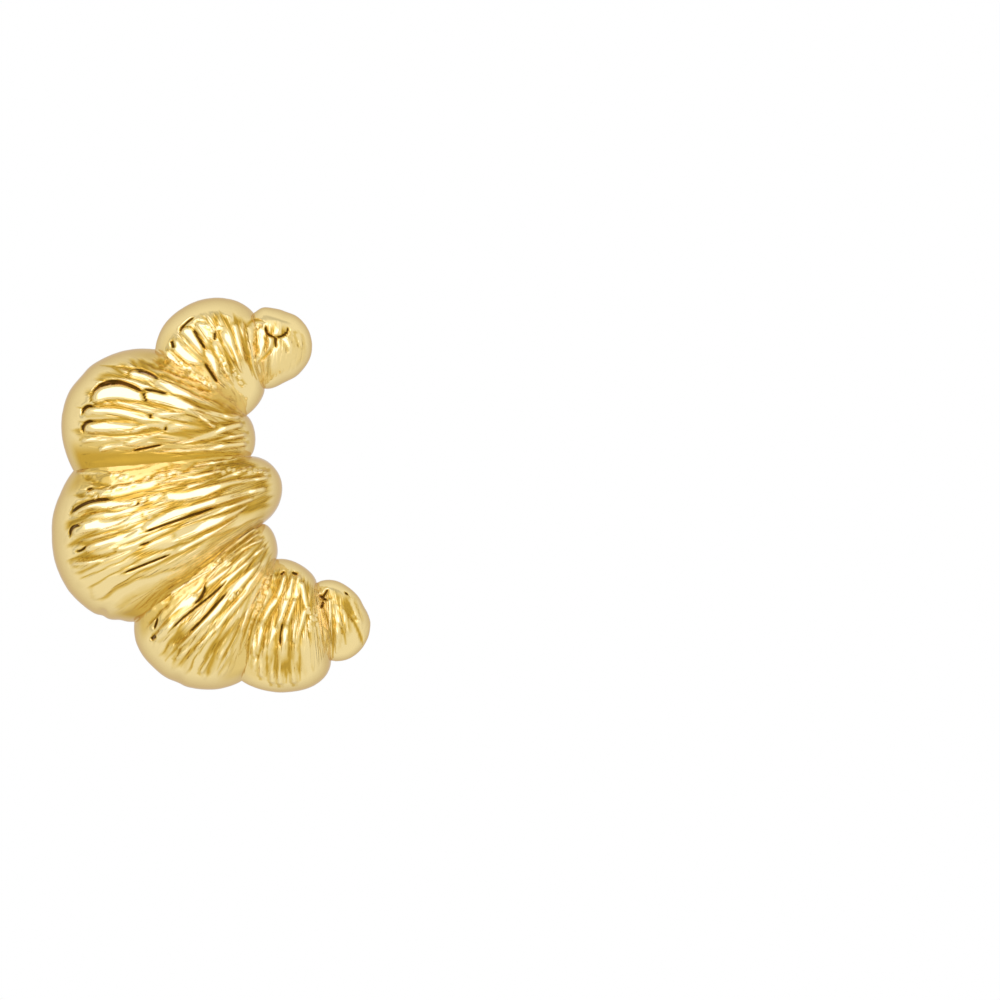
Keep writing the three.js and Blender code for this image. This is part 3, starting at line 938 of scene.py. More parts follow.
    def raise_leaf(self, front: Front, stroke: Stroke, patch: Patch) -> None:
        """Raises a leaf along a stroke, with a trench round it that carries painted shade and dark
        reflection.

        The leaf covers |v| up to its half width, which opens as a quarter circle at its blunt start and
        closes as a power of what is left of its tail. The trench is exp(-d^4) of the distance from its
        middle.

        Args:
            front: The front, changed in place.
            stroke: The stroke.
            patch: The points that it reaches.
        """
        u, v = patch.along, patch.across
        from_start = u * patch.length
        opening = np.clip(from_start / (self.blunt_share * stroke.width), 0.0, 1.0)
        closing = np.clip((1.0 - u) / stroke.tail, 0.0, 1.0) ** self.tail_power
        half_width = 0.5 * stroke.width * np.sqrt(1.0 - (1.0 - opening) ** 2) * closing
        outside = np.maximum(np.abs(v) - half_width, -from_start)
        inside = (1.0 - smoothstep(outside, *self.leaf_edge)) * (u < 1.0)
        if (inside > 0.5).sum() < self.fewest_points:
            return
        top = self.leaf_top(front.smooth[patch.near, 1], patch, inside > 0.5)
        # The trench's painted shade and dark reflection: full on the upper side, less below, and stronger
        # round the blunt start.
        upper = np.where(v > 0.0, stroke.shade, self.lower_shade * stroke.shade)
        round_start = np.minimum(self.start_gain * upper, 1.0) - self.start_loss
        shade = np.where(from_start < self.start_share * stroke.width, round_start, upper)
        trench = np.exp(-(((outside - self.trench_out) / self.trench_half_width) ** 4)) * shade
        trench = trench * (1.0 - smoothstep(u, self.trench_end, 1.0)) * (1.0 - inside)
        level = front.points[patch.near, 1] * (1.0 - inside) + (top - self.leaf_height) * inside
        front.points[patch.near, 1] = level + self.trench_depth * trench
        polish, painted_shade = front.polish[patch.near], front.painted_shade[patch.near]
        front.polish[patch.near] = np.maximum(polish * (1.0 - trench), inside)
        # The leaf's top has no painted shade, and the trench round it takes its painted shade.
        front.painted_shade[patch.near] = np.maximum(painted_shade * (1.0 - inside), trench)

    def leaf_top(self, smooth: np.ndarray, patch: Patch, held: np.ndarray) -> np.ndarray:
        """Works out the smooth face of a leaf before it is raised.

        The sheet a + b u + c v + d u^2 is fitted to the roll under the leaf. The face is that sheet with
        part of its curve, turned about its middle towards the light's slope.

        Args:
            smooth: The smooth roll's y at the patch's points.
            patch: The points that the stroke reaches.
            held: Which of them the leaf covers.

        Returns:
            The face's y at the patch's points.
        """
        u, v = patch.along, patch.across
        terms = np.column_stack([np.ones(held.sum()), u[held], v[held], u[held] ** 2])
        level, along, across, curve = np.linalg.lstsq(terms, smooth[held], rcond=None)[0]
        middle_u, middle_v = u[held].mean(), v[held].mean()
        natural_slope = np.array([along + 2.0 * curve * middle_u, across * patch.length]) / patch.length
        slope = natural_slope + self.turn_to_light * (self.light_slope * patch.lit - natural_slope)
        middle = level + along * middle_u + across * middle_v + curve * middle_u**2
        turned = middle + slope[0] * patch.length * (u - middle_u) + slope[1] * (v - middle_v)
        turned = turned + self.curve_kept * curve * (u - middle_u) ** 2
        natural = level + along * u + across * v + curve * u**2
        return natural + np.clip(turned - natural, -self.most_turn, self.most_turn)


# ---- The croissant ----


@dataclass(frozen=True)
class Crease:
    """A line where two rolls meet: its ends on the inside and outside of the crescent, and its height.

    Its shades are how dark the valley's painted shade is on the roll before it and on the roll after it.
    """

    inner: Point
    outer: Point
    depth: float
    shades: Point


@dataclass(frozen=True)
class Roll:
    """A roll between two creases: its furthest points, its arcs' corner angles and its crest's height."""

    inner: Point
    outer: Point
    corners: Point
    crest: float


@dataclass(frozen=True)
class Tip:
    """An end roll: its middle, its pole, its inner and outer sweeps in degrees and its crest's height."""

    centre: Point
    pole: Point
    sweeps: Point
    crest: float


@dataclass
class Ribs:
    """Arrays with one value per rib across the crescent, from the upper tip to the lower one.

    Spread is how far the back has opened from a tip's pole, and across is the rib's place on its roll: -1 to
    1 from crease to crease, or from the pole to the crease of an end roll.
    """

    inner: np.ndarray
    outer: np.ndarray
    depth: np.ndarray
    spread: np.ndarray
    across: np.ndarray
    roll: np.ndarray


@dataclass
class Ground:
    """Where each point of the front is, as rows x columns arrays.

    Across and roll are its rib's. Share is its share of the way from the inner to the outer outline, length
    its rib's length and breadth its roll's usual breadth. Body is whether it is between two creases.
    """

    across: np.ndarray
    roll: np.ndarray
    share: np.ndarray
    length: np.ndarray
    breadth: np.ndarray
    body: np.ndarray


def arch(t: np.ndarray, corner: float) -> np.ndarray:
    """An arc of a unit ellipse over t from -1 to 1, 0 at both ends and 1 in the middle.

    Args:
        t: Where along the arc.
        corner: How gently it meets its ends, in degrees: 0 is a half circle, and more is flatter.

    Returns:
        The height: the circle's height at t cos(corner), less its height at the ends, scaled to 1.
    """
    base = math.sin(math.radians(corner))
    return (np.sqrt(1.0 - (t * math.cos(math.radians(corner))) ** 2) - base) / (1.0 - base)


def lobe_line(t: np.ndarray, start: Point, end: Point, peak: Point, corner: float) -> np.ndarray:
    """An arc of an outline: the chord's point at t, plus arch(t) times the way from its middle to the peak.

    Args:
        t: Where along the arc, from -1 to 1.
        start: The arc's point at -1.
        end: The arc's point at 1.
        peak: The arc's point at 0.
        corner: How gently it meets its ends, in degrees.

    Returns:
        Rows of x and z.
    """
    a, b, p = (np.array(point) for point in (start, end, peak))
    middle = (a + b) / 2.0
    return middle + t[:, None] * (b - a) / 2.0 + arch(t, corner)[:, None] * (p - middle)


def tip_line(t: np.ndarray, tip: Tip, sweep: float, crease_end: Point) -> np.ndarray:
    """A tip's outline: an ellipse about its middle from its pole, past its widest place, to the crease.

    Args:
        t: Where along the outline: -1 at the pole, 0 at the widest place and 1 at the crease.
        tip: The tip.
        sweep: The angle from the pole to the crease, in degrees.
        crease_end: The crease's end on this outline.

    Returns:
        Rows of x and z.
    """
    centre, pole, crease = (np.array(point) for point in (tip.centre, tip.pole, crease_end))
    past = -math.cos(math.radians(sweep))
    reach = pole - centre
    width = (crease - centre + past * reach) / math.sin(math.radians(sweep))
    along = np.where(t < 0.0, t, t * past)[:, None]
    return centre - along * reach + np.sqrt(np.maximum(0.0, 1.0 - along**2)) * width


@dataclass
class Croissant:
    """The cast relief: seven rolls, worked all over the front, with a smooth rim and a flat back.

    Sizes are in millimetres. Points are an x and a z.
    """

    finish: GoldFinish
    back_finish: GoldFinish
    engraving: Engraving = field(default_factory=Engraving)
    # The outline and the crests.
    # Each crease's shades are the painted shade in its valley, on the roll before it and the roll after it.
    creases: tuple[Crease, ...] = (
        Crease((2.8, 3.52), (2.36, 6.6), 1.86, (0.1, 0.06)),
        Crease((2.08, 2.45), (-1.65, 5.15), 2.15, (0.15, 0.22)),
        Crease((2.25, 0.8), (-4.95, 0.2), 3.1, (0.56, 0.4)),
        Crease((2.7, -1.95), (-2.5, -5.95), 2.95, (0.5, 0.35)),
        Crease((3.28, -3.38), (1.88, -8.33), 2.35, (0.25, 0.15)),
        Crease((4.92, -4.35), (5.5, -7.5), 1.84, (0.08, 0.04)),
    )
    rolls: tuple[Roll, ...] = (
        Roll((2.6, 3.0), (0.0, 7.08), (40.0, 18.0), 2.95),
        Roll((2.42, 1.65), (-4.95, 3.72), (20.0, 32.0), 3.9),
        Roll((3.5, -0.3), (-5.58, -3.88), (16.0, 24.0), 4.35),
        Roll((3.22, -2.45), (-1.05, -8.28), (16.0, 20.0), 3.7),
        Roll((4.3, -3.64), (4.22, -8.74), (30.0, 24.0), 2.95),
    )
    upper_tip: Tip = Tip((3.12, 5.26), (4.72, 5.2), (98.0, 122.0), 2.15)
    lower_tip: Tip = Tip((5.75, -5.95), (7.1, -5.95), (112.0, 102.0), 2.05)
    breadths: tuple[float, ...] = (3.0, 4.2, 5.6, 7.2, 5.4, 4.4, 3.0)
    dents: tuple[tuple[Point, Point, float], ...] = (
        ((2.78, 6.75), (-0.04, 0.08), 0.3),
        ((3.68, 6.66), (0.0, -0.06), 0.35),
        ((4.3, 4.2), (-0.04, 0.06), 0.5),
        ((3.65, 3.7), (0.0, 0.19), 0.55),
        ((-3.75, -5.6), (0.08, 0.09), 0.2),
        ((-3.1, -6.05), (0.03, 0.07), 0.25),
        ((-0.7, -8.3), (0.03, 0.06), 0.3),
        ((1.2, 6.8), (0.0, -0.05), 0.4),
        ((-5.0, 4.3), (0.06, -0.05), 0.5),
        ((-5.5, -2.4), (0.05, 0.0), 0.4),
        ((7.0, -5.2), (-0.05, 0.0), 0.3),
    )
    # The section of a roll, and the grid over it.
    side_height: float = 0.7
    back_inset: float = 0.42
    most_inset: float = 0.3
    roundness: float = 2.3
    valley_corner: float = 24.0
    row_total: int = 690
    row_shares: tuple[float, ...] = (0.10, 0.13, 0.19, 0.23, 0.16, 0.11, 0.08)
    row_crowding: float = 72.0
    front_columns: int = 126
    edge_columns: int = 5
    back_columns: int = 4
    # The chiselled facets. Each wander of their lines has its size, its waves along a rib and across a roll,
    # how far apart the rolls read it, and its seed.
    facet_width: float = 0.58
    facet_length: float = 4.0
    facet_height: float = 0.09
    facet_bevel: float = 0.09
    facet_lean: float = 1.6
    lowest_facet: float = 0.35
    flat_facets: Point = (0.35, 0.6)
    inner_squeeze: float = 0.7
    squeeze_reach: float = 0.75
    inner_width: float = 0.35
    inner_height: float = 0.45
    fade_reach: float = 0.45
    facet_wanders: tuple[tuple[float, float, float, float, int], ...] = (
        (0.55, 3.0, 1.5, 7.0, 3),
        (0.16, 13.0, 5.0, 5.0, 4),
    )
    facet_sink: float = 0.6
    # The fine relief over the facets, and its waves to a rib, a roll or a millimetre.
    rill_height: float = 0.008
    rill_waves: Point = (15.0, 5.0)
    rills_on_flats: float = 0.2
    grain_height: float = 0.035
    grain_waves: float = 4.5
    grain_reach: Point = (0.05, 0.45)
    grain_after_crest: float = 0.3
    swell_height: float = 0.02
    swell_waves: float = 0.9
    fillet_height: float = 0.14
    fillet_width: float = 0.22
    fillet_side: Point = (0.1, 0.9)
    tumbling: float = 0.32
    # Where the work stops, and where it is quieter.
    rim_width: float = 0.78
    rim_fade: Point = (0.22, 0.12)
    rim_relief: float = 0.07
    inner_margins: tuple[float, ...] = (0.3, 1.15, 0.3, 0.3, 0.3, 0.3, 0.3)
    inner_fade: float = 0.35
    pole_fade: Point = (-0.93, -0.7)
    margin_waves: float = 9.0
    margin_wander: float = 0.25
    inner_wander: float = 0.15
    quiet_side: Point = (0.4, 0.85)
    quiet_side_share: float = 0.5
    quiet_crease: float = 0.06
    quiet_spots: tuple[tuple[Point, float], ...] = (
        ((0.25, -6.35), 0.5),
        ((4.75, -7.3), 0.6),
        ((3.7, 4.6), 0.9),
        ((6.2, -6.8), 0.6),
        ((1.7, 3.4), 0.6),
    )
    quiet_spot_share: float = 0.85
    # How dark the painted shade on low ground is, and how far the creases' painted shade reaches.
    ground_shade: float = 0.62
    most_shade: float = 0.6
    shade_depth: float = 0.9
    crease_shade_reach: Point = (0.3, 0.95)
    crease_shade_side: Point = (0.15, 0.6)

    def ribs(self) -> Ribs:
        """Works out every rib, closer together towards each crease and each tip.

        Returns:
            The ribs of the two tips and the five rolls between them.
        """
        parts: list[Ribs] = []
        last = len(self.creases)
        bend = math.radians(self.row_crowding)
        for index, share in enumerate(self.row_shares):
            count = round(share * self.row_total)
            step = np.linspace(-1.0, 1.0, count + 1)[1:]
            tip_t = -np.cos(np.pi * (step + 1.0) / 2.0)
            if index == 0:
                part = self.tip_ribs(tip_t, self.upper_tip, self.creases[0], index)
            elif index == last:
                part = self.tip_ribs(tip_t, self.lower_tip, self.creases[-1], index)
                part = Ribs(*(values[::-1][1:] for values in vars(part).values()))
            else:
                part = self.roll_ribs(np.sin(bend * step) / math.sin(bend), index)
            parts.append(part)
        return Ribs(*(np.concatenate(values) for values in zip(*(vars(part).values() for part in parts))))

    def tip_ribs(self, t: np.ndarray, tip: Tip, crease: Crease, index: int) -> Ribs:
        """Ribs of an end roll, whose height is a dome up to its widest place and then a roll's.

        Args:
            t: The ribs' places, from the pole at -1 to the crease at 1.
            tip: The end roll.
            crease: Its crease.
            index: Its place among the rolls.

        Returns:
            The ribs.
        """
        spread = np.where(t < 0.0, np.sqrt(np.maximum(0.0, 1.0 - t**2)), 1.0)
        body = crease.depth + (tip.crest - crease.depth) * arch(t, self.valley_corner)
        dome = self.side_height + (tip.crest - self.side_height) * spread
        depth = np.where(t < 0.0, dome, body)
        inner = tip_line(t, tip, tip.sweeps[0], crease.inner)
        outer = tip_line(t, tip, tip.sweeps[1], crease.outer)
        return Ribs(inner, outer, depth, spread, t, np.full(len(t), index))

    def roll_ribs(self, t: np.ndarray, index: int) -> Ribs:
        """Ribs of a roll between two creases, whose height is arch(t) over the straight line between them.

        Args:
            t: The ribs' places, from one crease at -1 to the next at 1.
            index: The roll's place among the rolls.

        Returns:
            The ribs.
        """
        roll, before, after = self.rolls[index - 1], self.creases[index - 1], self.creases[index]
        floor = before.depth + (after.depth - before.depth) * (t + 1.0) / 2.0
        depth = floor + (roll.crest - floor) * arch(t, self.valley_corner)
        inner = lobe_line(t, before.inner, after.inner, roll.inner, roll.corners[0])
        outer = lobe_line(t, before.outer, after.outer, roll.outer, roll.corners[1])
        return Ribs(inner, outer, depth, np.ones(len(t)), t, np.full(len(t), index))

    def sections(self, ribs: Ribs) -> tuple[np.ndarray, np.ndarray]:
        """Carries the closed section over every rib.

        Over the front it is a superellipse: the place across is cos^(2/n) of the angle and the height is
        sin^(2/n). Behind the widest line a quarter ellipse turns in to the flat back on both sides.

        Args:
            ribs: The ribs.

        Returns:
            Rows x columns x 3 points, and each point's share of the way from the inner to the outer outline.
        """
        power = 2.0 / self.roundness
        angle = np.linspace(0.0, np.pi, self.front_columns + 1)
        front_across = -np.sign(np.cos(angle)) * np.abs(np.cos(angle)) ** power
        front_rise = np.maximum(0.0, np.sin(angle)) ** power
        half = np.linalg.norm(ribs.outer - ribs.inner, axis=1)[:, None] / 2.0
        inset = np.minimum(self.back_inset, self.most_inset * half) / half
        opened = 1.0 - ribs.spread[:, None]
        back = -self.side_height * (1.0 - (1.0 - opened**self.roundness) ** (1.0 / self.roundness))
        turn = np.linspace(0.0, np.pi / 2.0, self.edge_columns + 1)[1:]
        edge_across = 1.0 - inset * (1.0 - np.cos(turn))
        edge_y = -self.side_height + (self.side_height + back) * np.sin(turn)
        flat = 1.0 - 2.0 * np.arange(1, self.back_columns) / self.back_columns
        flat_across = (1.0 - inset) * flat
        flat_y = np.broadcast_to(back, flat_across.shape)
        front_y = -self.side_height - (ribs.depth[:, None] - self.side_height) * front_rise
        front_across = np.broadcast_to(front_across, front_y.shape)
        across = np.hstack([front_across, edge_across, flat_across, -edge_across[:, ::-1]])
        y = np.hstack([front_y, edge_y, flat_y, edge_y[:, ::-1]])
        share = (across + 1.0) / 2.0
        plan = ribs.inner[:, None, :] + (ribs.outer - ribs.inner)[:, None, :] * share[:, :, None]
        return np.stack([plan[:, :, 0], y, plan[:, :, 1]], axis=-1), share

    def ground(self, ribs: Ribs, share: np.ndarray) -> Ground:
        """Spreads the ribs' values over the front's points.

        Args:
            ribs: The ribs.
            share: The points' shares of the way from the inner to the outer outline.

        Returns:
            Where the points are.
        """
        across = np.broadcast_to(ribs.across[:, None], share.shape)
        roll = np.broadcast_to(ribs.roll[:, None], share.shape)
        length = np.linalg.norm(ribs.outer - ribs.inner, axis=1)[:, None]
        body = (roll > 0) & (roll < len(self.creases))
        return Ground(across, roll, share, length, np.array(self.breadths)[roll], body)

    def facets(self, ground: Ground) -> tuple[np.ndarray, np.ndarray]:
        """Long chiselled facets that run along the ribs and fan out with them.

        The front of each roll is split into cells much longer than they are wide, whose lines wander. A
        facet rises from the groove round it to a flat top with its own height and lean. Each roll reads its
        own stretch of the patterns.

        Args:
            ground: Where the front's points are.

        Returns:
            The facets' height in millimetres at each front point, and how flat it is there.
        """
        first_cell, roll_step = 20.0, 7.3
        share, across, roll = ground.share, ground.across, ground.roll
        squeeze = blend(self.inner_squeeze, 1.0, smoothstep(share, 0.0, self.squeeze_reach))
        x = across * squeeze * ground.breadth / 2.0 / self.facet_width
        for size, waves_along, waves_across, apart, seed in self.facet_wanders:
            x = x + size * gradient_noise(share * waves_along, across * waves_across + roll * apart, seed)
        y = share * ground.length / self.facet_length + roll * roll_step
        edge, offset, cell = flakes(x + first_cell, y, seed=21)
        from_edge = 0.5 * edge * self.facet_width * blend(self.inner_width, 1.0, share)
        top = smoothstep(from_edge, 0.0, self.facet_bevel)
        tall = blend(self.lowest_facet, 1.0, cell[..., 0])
        lean = self.facet_lean * (cell[..., 1] - 0.5) * offset
        fade = blend(self.inner_height, 1.0, smoothstep(share, 0.0, self.fade_reach))
        flat = top * smoothstep(cell[..., 0], *self.flat_facets)
        return self.facet_height * top * (tall + lean) * fade, flat

    def worked(self, ground: Ground) -> np.ndarray:
        """How fully each front point is worked.

        Args:
            ground: Where the front's points are.

        Returns:
            0 on the rim, the inner margin and the poles, whose edges wander a little, and 1 inside them.
        """
        share, across, roll = ground.share, ground.across, ground.roll
        roll_step = 3.0
        wander = gradient_noise(across * self.margin_waves + roll * roll_step, share * 0.0, seed=8)
        from_outer = (1.0 - share) * ground.length + self.margin_wander * wander
        from_inner = share * ground.length + self.inner_wander * wander
        rim_start, rim_end = self.rim_width - self.rim_fade[0], self.rim_width + self.rim_fade[1]
        margin = np.array(self.inner_margins)[roll]
        off_rim = smoothstep(from_outer, rim_start, rim_end)
        off_inside = smoothstep((from_inner - margin) / self.inner_fade, 0.0, 1.0)
        return off_rim * off_inside * np.where(ground.body, 1.0, smoothstep(across, *self.pole_fade))

    def loudness(self, ground: Ground, points: np.ndarray) -> np.ndarray:
        """How strong the facets are: weaker before each crease, at the creases and round the quiet spots.

        Args:
            ground: Where the front's points are.
            points: The points themselves.

        Returns:
            The facets' share at each point, from 0 to 1.
        """
        across = ground.across
        loud = np.where(ground.body, 1.0 - self.quiet_side_share * smoothstep(across, *self.quiet_side), 1.0)
        loud = loud * smoothstep(1.0 - np.abs(across), 0.0, self.quiet_crease)
        for (x, z), reach in self.quiet_spots:
            away = np.hypot(points[:, :, 0] - x, points[:, :, 2] - z)
            loud = loud * (1.0 - self.quiet_spot_share * np.exp(-((away / reach) ** 4)))
        return loud

    def relief(self, ribs: Ribs, points: np.ndarray, share: np.ndarray) -> tuple[np.ndarray, ...]:
        """Works out how far each front point stands off the smooth roll, how it is polished and how much
        painted shade it gets.

        Facets, rills, grains, a fillet along each crease and broad swells are added up. The fillet falls off
        as exp(-d^2) of the distance from the crease.

        Args:
            ribs: The ribs.
            points: The front's points.
            share: Their shares of the way from the inner to the outer outline.

        Returns:
            The relief in millimetres, the polish and the painted shade, one value each per front point.
        """
        ground = self.ground(ribs, share)
        across, roll = ground.across, ground.roll
        near_crease = 1.0 - np.abs(across)
        from_crease = np.where(ground.body, near_crease, 1.0 - across) * ground.breadth / 2.0
        from_side = np.minimum(share, 1.0 - share) * ground.length
        facets, flat = self.facets(ground)
        roll_step, swell_start = 9.0, 40.0
        rill_x, rill_y = across * self.rill_waves[0] + roll * roll_step, share * self.rill_waves[1]
        rills = gradient_noise(rill_x, rill_y, seed=5)
        plan = (points[:, :, 0], points[:, :, 2])
        grains = gradient_noise(*(axis * self.grain_waves for axis in plan), seed=6)
        swells = gradient_noise(*(axis * self.swell_waves + swell_start for axis in plan), seed=9)
        by_crease = ground.body * (1.0 - smoothstep(near_crease, *self.grain_reach))
        by_crease = by_crease * np.where(across < 0.0, 1.0, self.grain_after_crest)
        height = facets + self.rill_height * rills * blend(1.0, self.rills_on_flats, flat)
        height = height + self.grain_height * grains * by_crease
        worked, loud = self.worked(ground), self.loudness(ground, points)
        # Painted shade: the lower the ground between the facets, the darker it is painted, and the crease
        # valleys add their own.
        low = self.ground_shade - height / (self.shade_depth * self.facet_height)
        painted_shade = np.clip(low, 0.0, self.most_shade) * worked * loud
        painted_shade = np.maximum(painted_shade, self.crease_shade(ground, from_crease, from_side))
        height = (height - self.facet_sink * self.facet_height) * loud * blend(self.rim_relief, 1.0, worked)
        fillet = np.exp(-((from_crease / self.fillet_width) ** 2))
        fillet = fillet * smoothstep(from_side, *self.fillet_side)
        height = height + self.fillet_height * fillet + self.swell_height * swells
        return height, np.clip(np.maximum(flat, 1.0 - worked), 0.0, 1.0), painted_shade

    def crease_shade(self, ground: Ground, from_crease: np.ndarray, from_side: np.ndarray) -> np.ndarray:
        """How dark the painted shade in the valley of the nearest crease is at each front point.

        Args:
            ground: Where the front's points are.
            from_crease: How far each is from the nearest crease, in millimetres.
            from_side: How far each is from the nearer outline, in millimetres.

        Returns:
            The painted shade that the valley alone would give.
        """
        last = self.creases[-1].shades[1]
        before = np.array([0.0, *(crease.shades[1] for crease in self.creases)])[ground.roll]
        after = np.array([*(crease.shades[0] for crease in self.creases), last])[ground.roll]
        shade = np.where(ground.across > 0.0, after, before)
        shade = shade * (1.0 - smoothstep(from_crease, *self.crease_shade_reach))
        return shade * smoothstep(from_side, *self.crease_shade_side)

    def build(self) -> bpy.types.Object:
        """Builds, dresses and places the croissant.

        Returns:
            The finished piece, riding on the earring's body in place of its plain solid.
        """
        ribs = self.ribs()
        points, share = self.sections(ribs)
        normals = grid_normals(points)
        outward = normals[normals.shape[0] // 2, self.front_columns // 2, 1]
        normals = normals if outward < 0.0 else -normals
        front = slice(0, self.front_columns + 1)
        height, painted_shade, polish = np.zeros(share.shape), np.zeros(share.shape), np.ones(share.shape)
        relief = self.relief(ribs, points[:, front], share[:, front])
        height[:, front], polish[:, front], painted_shade[:, front] = relief
        smooth = points[:, front]
        points = points + normals * height[:, :, None]
        self.engraving.carve(Front(points[:, front], smooth, polish[:, front], painted_shade[:, front]))
        points[:, front, 1] = soften(points[:, front, 1], self.tumbling)
        for place, push, reach in self.dents:
            near = np.exp(-np.sum((points[:, :, (0, 2)] - place) ** 2, axis=-1) / reach**2)
            points[:, :, 0] += push[0] * near
            points[:, :, 2] += push[1] * near
        poles = (self.upper_tip.pole, self.lower_tip.pole)
        ends = tuple(np.array([x, -self.side_height, z]) for x, z in poles)
        piece = skin("croissant_relief", points, ends)
        # The painted shade goes to the material as an attribute, beside the polish.
        self.dress(piece, ribs, share, {"polish": polish, "painted_shade": painted_shade})
        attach(piece, "earring")
        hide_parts("croissant")
        return piece

    def dress(
        self, piece: bpy.types.Object, ribs: Ribs, share: np.ndarray, values: dict[str, np.ndarray]
    ) -> None:
        """Gives the croissant its rib map, its polish and painted-shade attributes and its two finishes.

        The rib map counts millimetres across the rolls and along the ribs, and each roll has its own stretch
        of it. The flat back gets the back's finish.

        Args:
            piece: The croissant.
            ribs: Its ribs.
            share: Each point's share of the way from the inner to the outer outline.
            values: The attributes' values at each point, by name.
        """
        roll_step = 11.0
        breadth = np.array(self.breadths)[ribs.roll]
        fan = (ribs.across * breadth / 2.0 + ribs.roll * roll_step)[:, None] * np.ones(share.shape[1])
        run = share * np.linalg.norm(ribs.outer - ribs.inner, axis=1)[:, None]
        places = np.stack([fan.ravel(), run.ravel()], axis=-1)
        unwrap(piece.data, "ribs", np.vstack([places[:1], places, places[-1:]]))
        for name, grid in values.items():
            row = grid.ravel()
            paint(piece.data, name, np.concatenate([row[:1], row, row[-1:]]))
        piece.data.materials.append(self.finish.material(worked=True))
        piece.data.materials.append(self.back_finish.material())
        columns = share.shape[1]
        column = np.arange(len(piece.data.polygons)) % columns
        first, last = self.front_columns + self.edge_columns, columns - self.edge_columns
        behind = (column >= first) & (column < last)
        behind[-2 * columns :] = False
        piece.data.polygons.foreach_set("material_index", behind.astype(np.int32))


# ---- The pin ----


@dataclass
class EarPin:
    """Round ear wire on a flat foot soldered to the croissant's back, with a ring cut near its round end."""

    finish: GoldFinish
    radius: float = 0.4
    length: float = 11.0
    foot_radius: float = 1.5
    foot_thickness: float = 0.25
    foot_edge: float = 0.06
    fillet: float = 0.3
    solder: float = 0.1
    notch_from_end: float = 1.2
    notch_depth: float = 0.07
    notch_width: float = 0.45
    # The grid: the hole at its first pole, the sweep of the rounded end, and the points on each stretch.
    pole_gap: float = 0.04
    end_sweep: float = 87.0
    sides: int = 96
    under_steps: int = 16
    edge_steps: int = 8
    fillet_steps: int = 14
    wire_steps: int = 260
    # How uneven the solder is, where that starts, and the height below which it holds.
    unevenness: float = 0.05
    uneven_from: float = 1.35
    uneven_over: float = 0.2
    uneven_below: float = 0.15
    lumps: float = 2.2

    def profile(self) -> np.ndarray:
        """Half a section, as distance from the axis and distance along it.

        It runs out over the foot's underside, up the concave bead of solder round it, over the foot's rounded
        edge, up the concave fillet on to the wire, along the wire, whose ring is half a cosine wave deep, and
        over the end.

        Returns:
            Rows of two distances.
        """
        bead_top = (self.foot_radius + self.solder, self.solder)
        rim = (self.foot_radius - self.foot_edge, self.foot_thickness - self.foot_edge)
        inner = (self.radius + self.fillet, self.foot_thickness + self.fillet)
        under = np.linspace(self.pole_gap, bead_top[0], self.under_steps)
        top = np.linspace(rim[0], inner[0], self.fillet_steps)[1:-1]
        along = np.linspace(inner[1], self.length - self.radius, self.wire_steps)[1:]
        off_notch = (along - (self.length - self.notch_from_end)) / (0.5 * self.notch_width)
        ring = np.where(np.abs(off_notch) < 1.0, 0.5 + 0.5 * np.cos(np.pi * off_notch), 0.0)
        end = (0.0, self.length - self.radius)
        return np.vstack(
            [
                np.stack([under, np.zeros(len(under))], axis=1),
                quarter(bead_top, self.solder, 270.0, 180.0, self.edge_steps)[1:],
                quarter(rim, self.foot_edge, 0.0, 90.0, self.edge_steps),
                np.stack([top, np.full(len(top), self.foot_thickness)], axis=1),
                quarter(inner, self.fillet, 270.0, 180.0, self.fillet_steps),
                np.stack([self.radius - self.notch_depth * ring, along], axis=1),
                quarter(end, self.radius, 0.0, self.end_sweep, self.fillet_steps)[1:],
            ]
        )

    def build(self) -> bpy.types.Object:
        """Turns the profile round the pin's axis, with a little unevenness in the solder.

        A point at angle a has its radius grown by a smooth noise that runs round the axis and fades away
        from the foot's edge.

        Returns:
            The finished piece, riding on the earring's body in place of its plain solid.
        """
        profile = self.profile()
        angle = np.linspace(0.0, 2.0 * np.pi, self.sides, endpoint=False)
        radius = np.broadcast_to(profile[:, :1], (len(profile), self.sides))
        start = 9.0
        turn_x, turn_y = self.lumps * np.cos(angle) + start, self.lumps * np.sin(angle) + start
        wave = gradient_noise(turn_x, turn_y, seed=11)
        reach = np.clip((profile[:, :1] - self.uneven_from) / self.uneven_over, 0.0, 1.0)
        reach = reach * (profile[:, 1:] < self.uneven_below)
        radius = radius + self.unevenness * reach * wave
        along = np.broadcast_to(profile[:, 1:], radius.shape)
        points = np.stack([radius * np.cos(angle), along, radius * np.sin(angle)], axis=-1)
        ends = (np.zeros(3), np.array([0.0, self.length, 0.0]))
        piece = skin("ear_pin_wire", points, ends)
        piece.data.materials.append(self.finish.material())
        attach(piece, "earring")
        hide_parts("ear_pin")
        return piece


# ---- The butterfly clutch ----


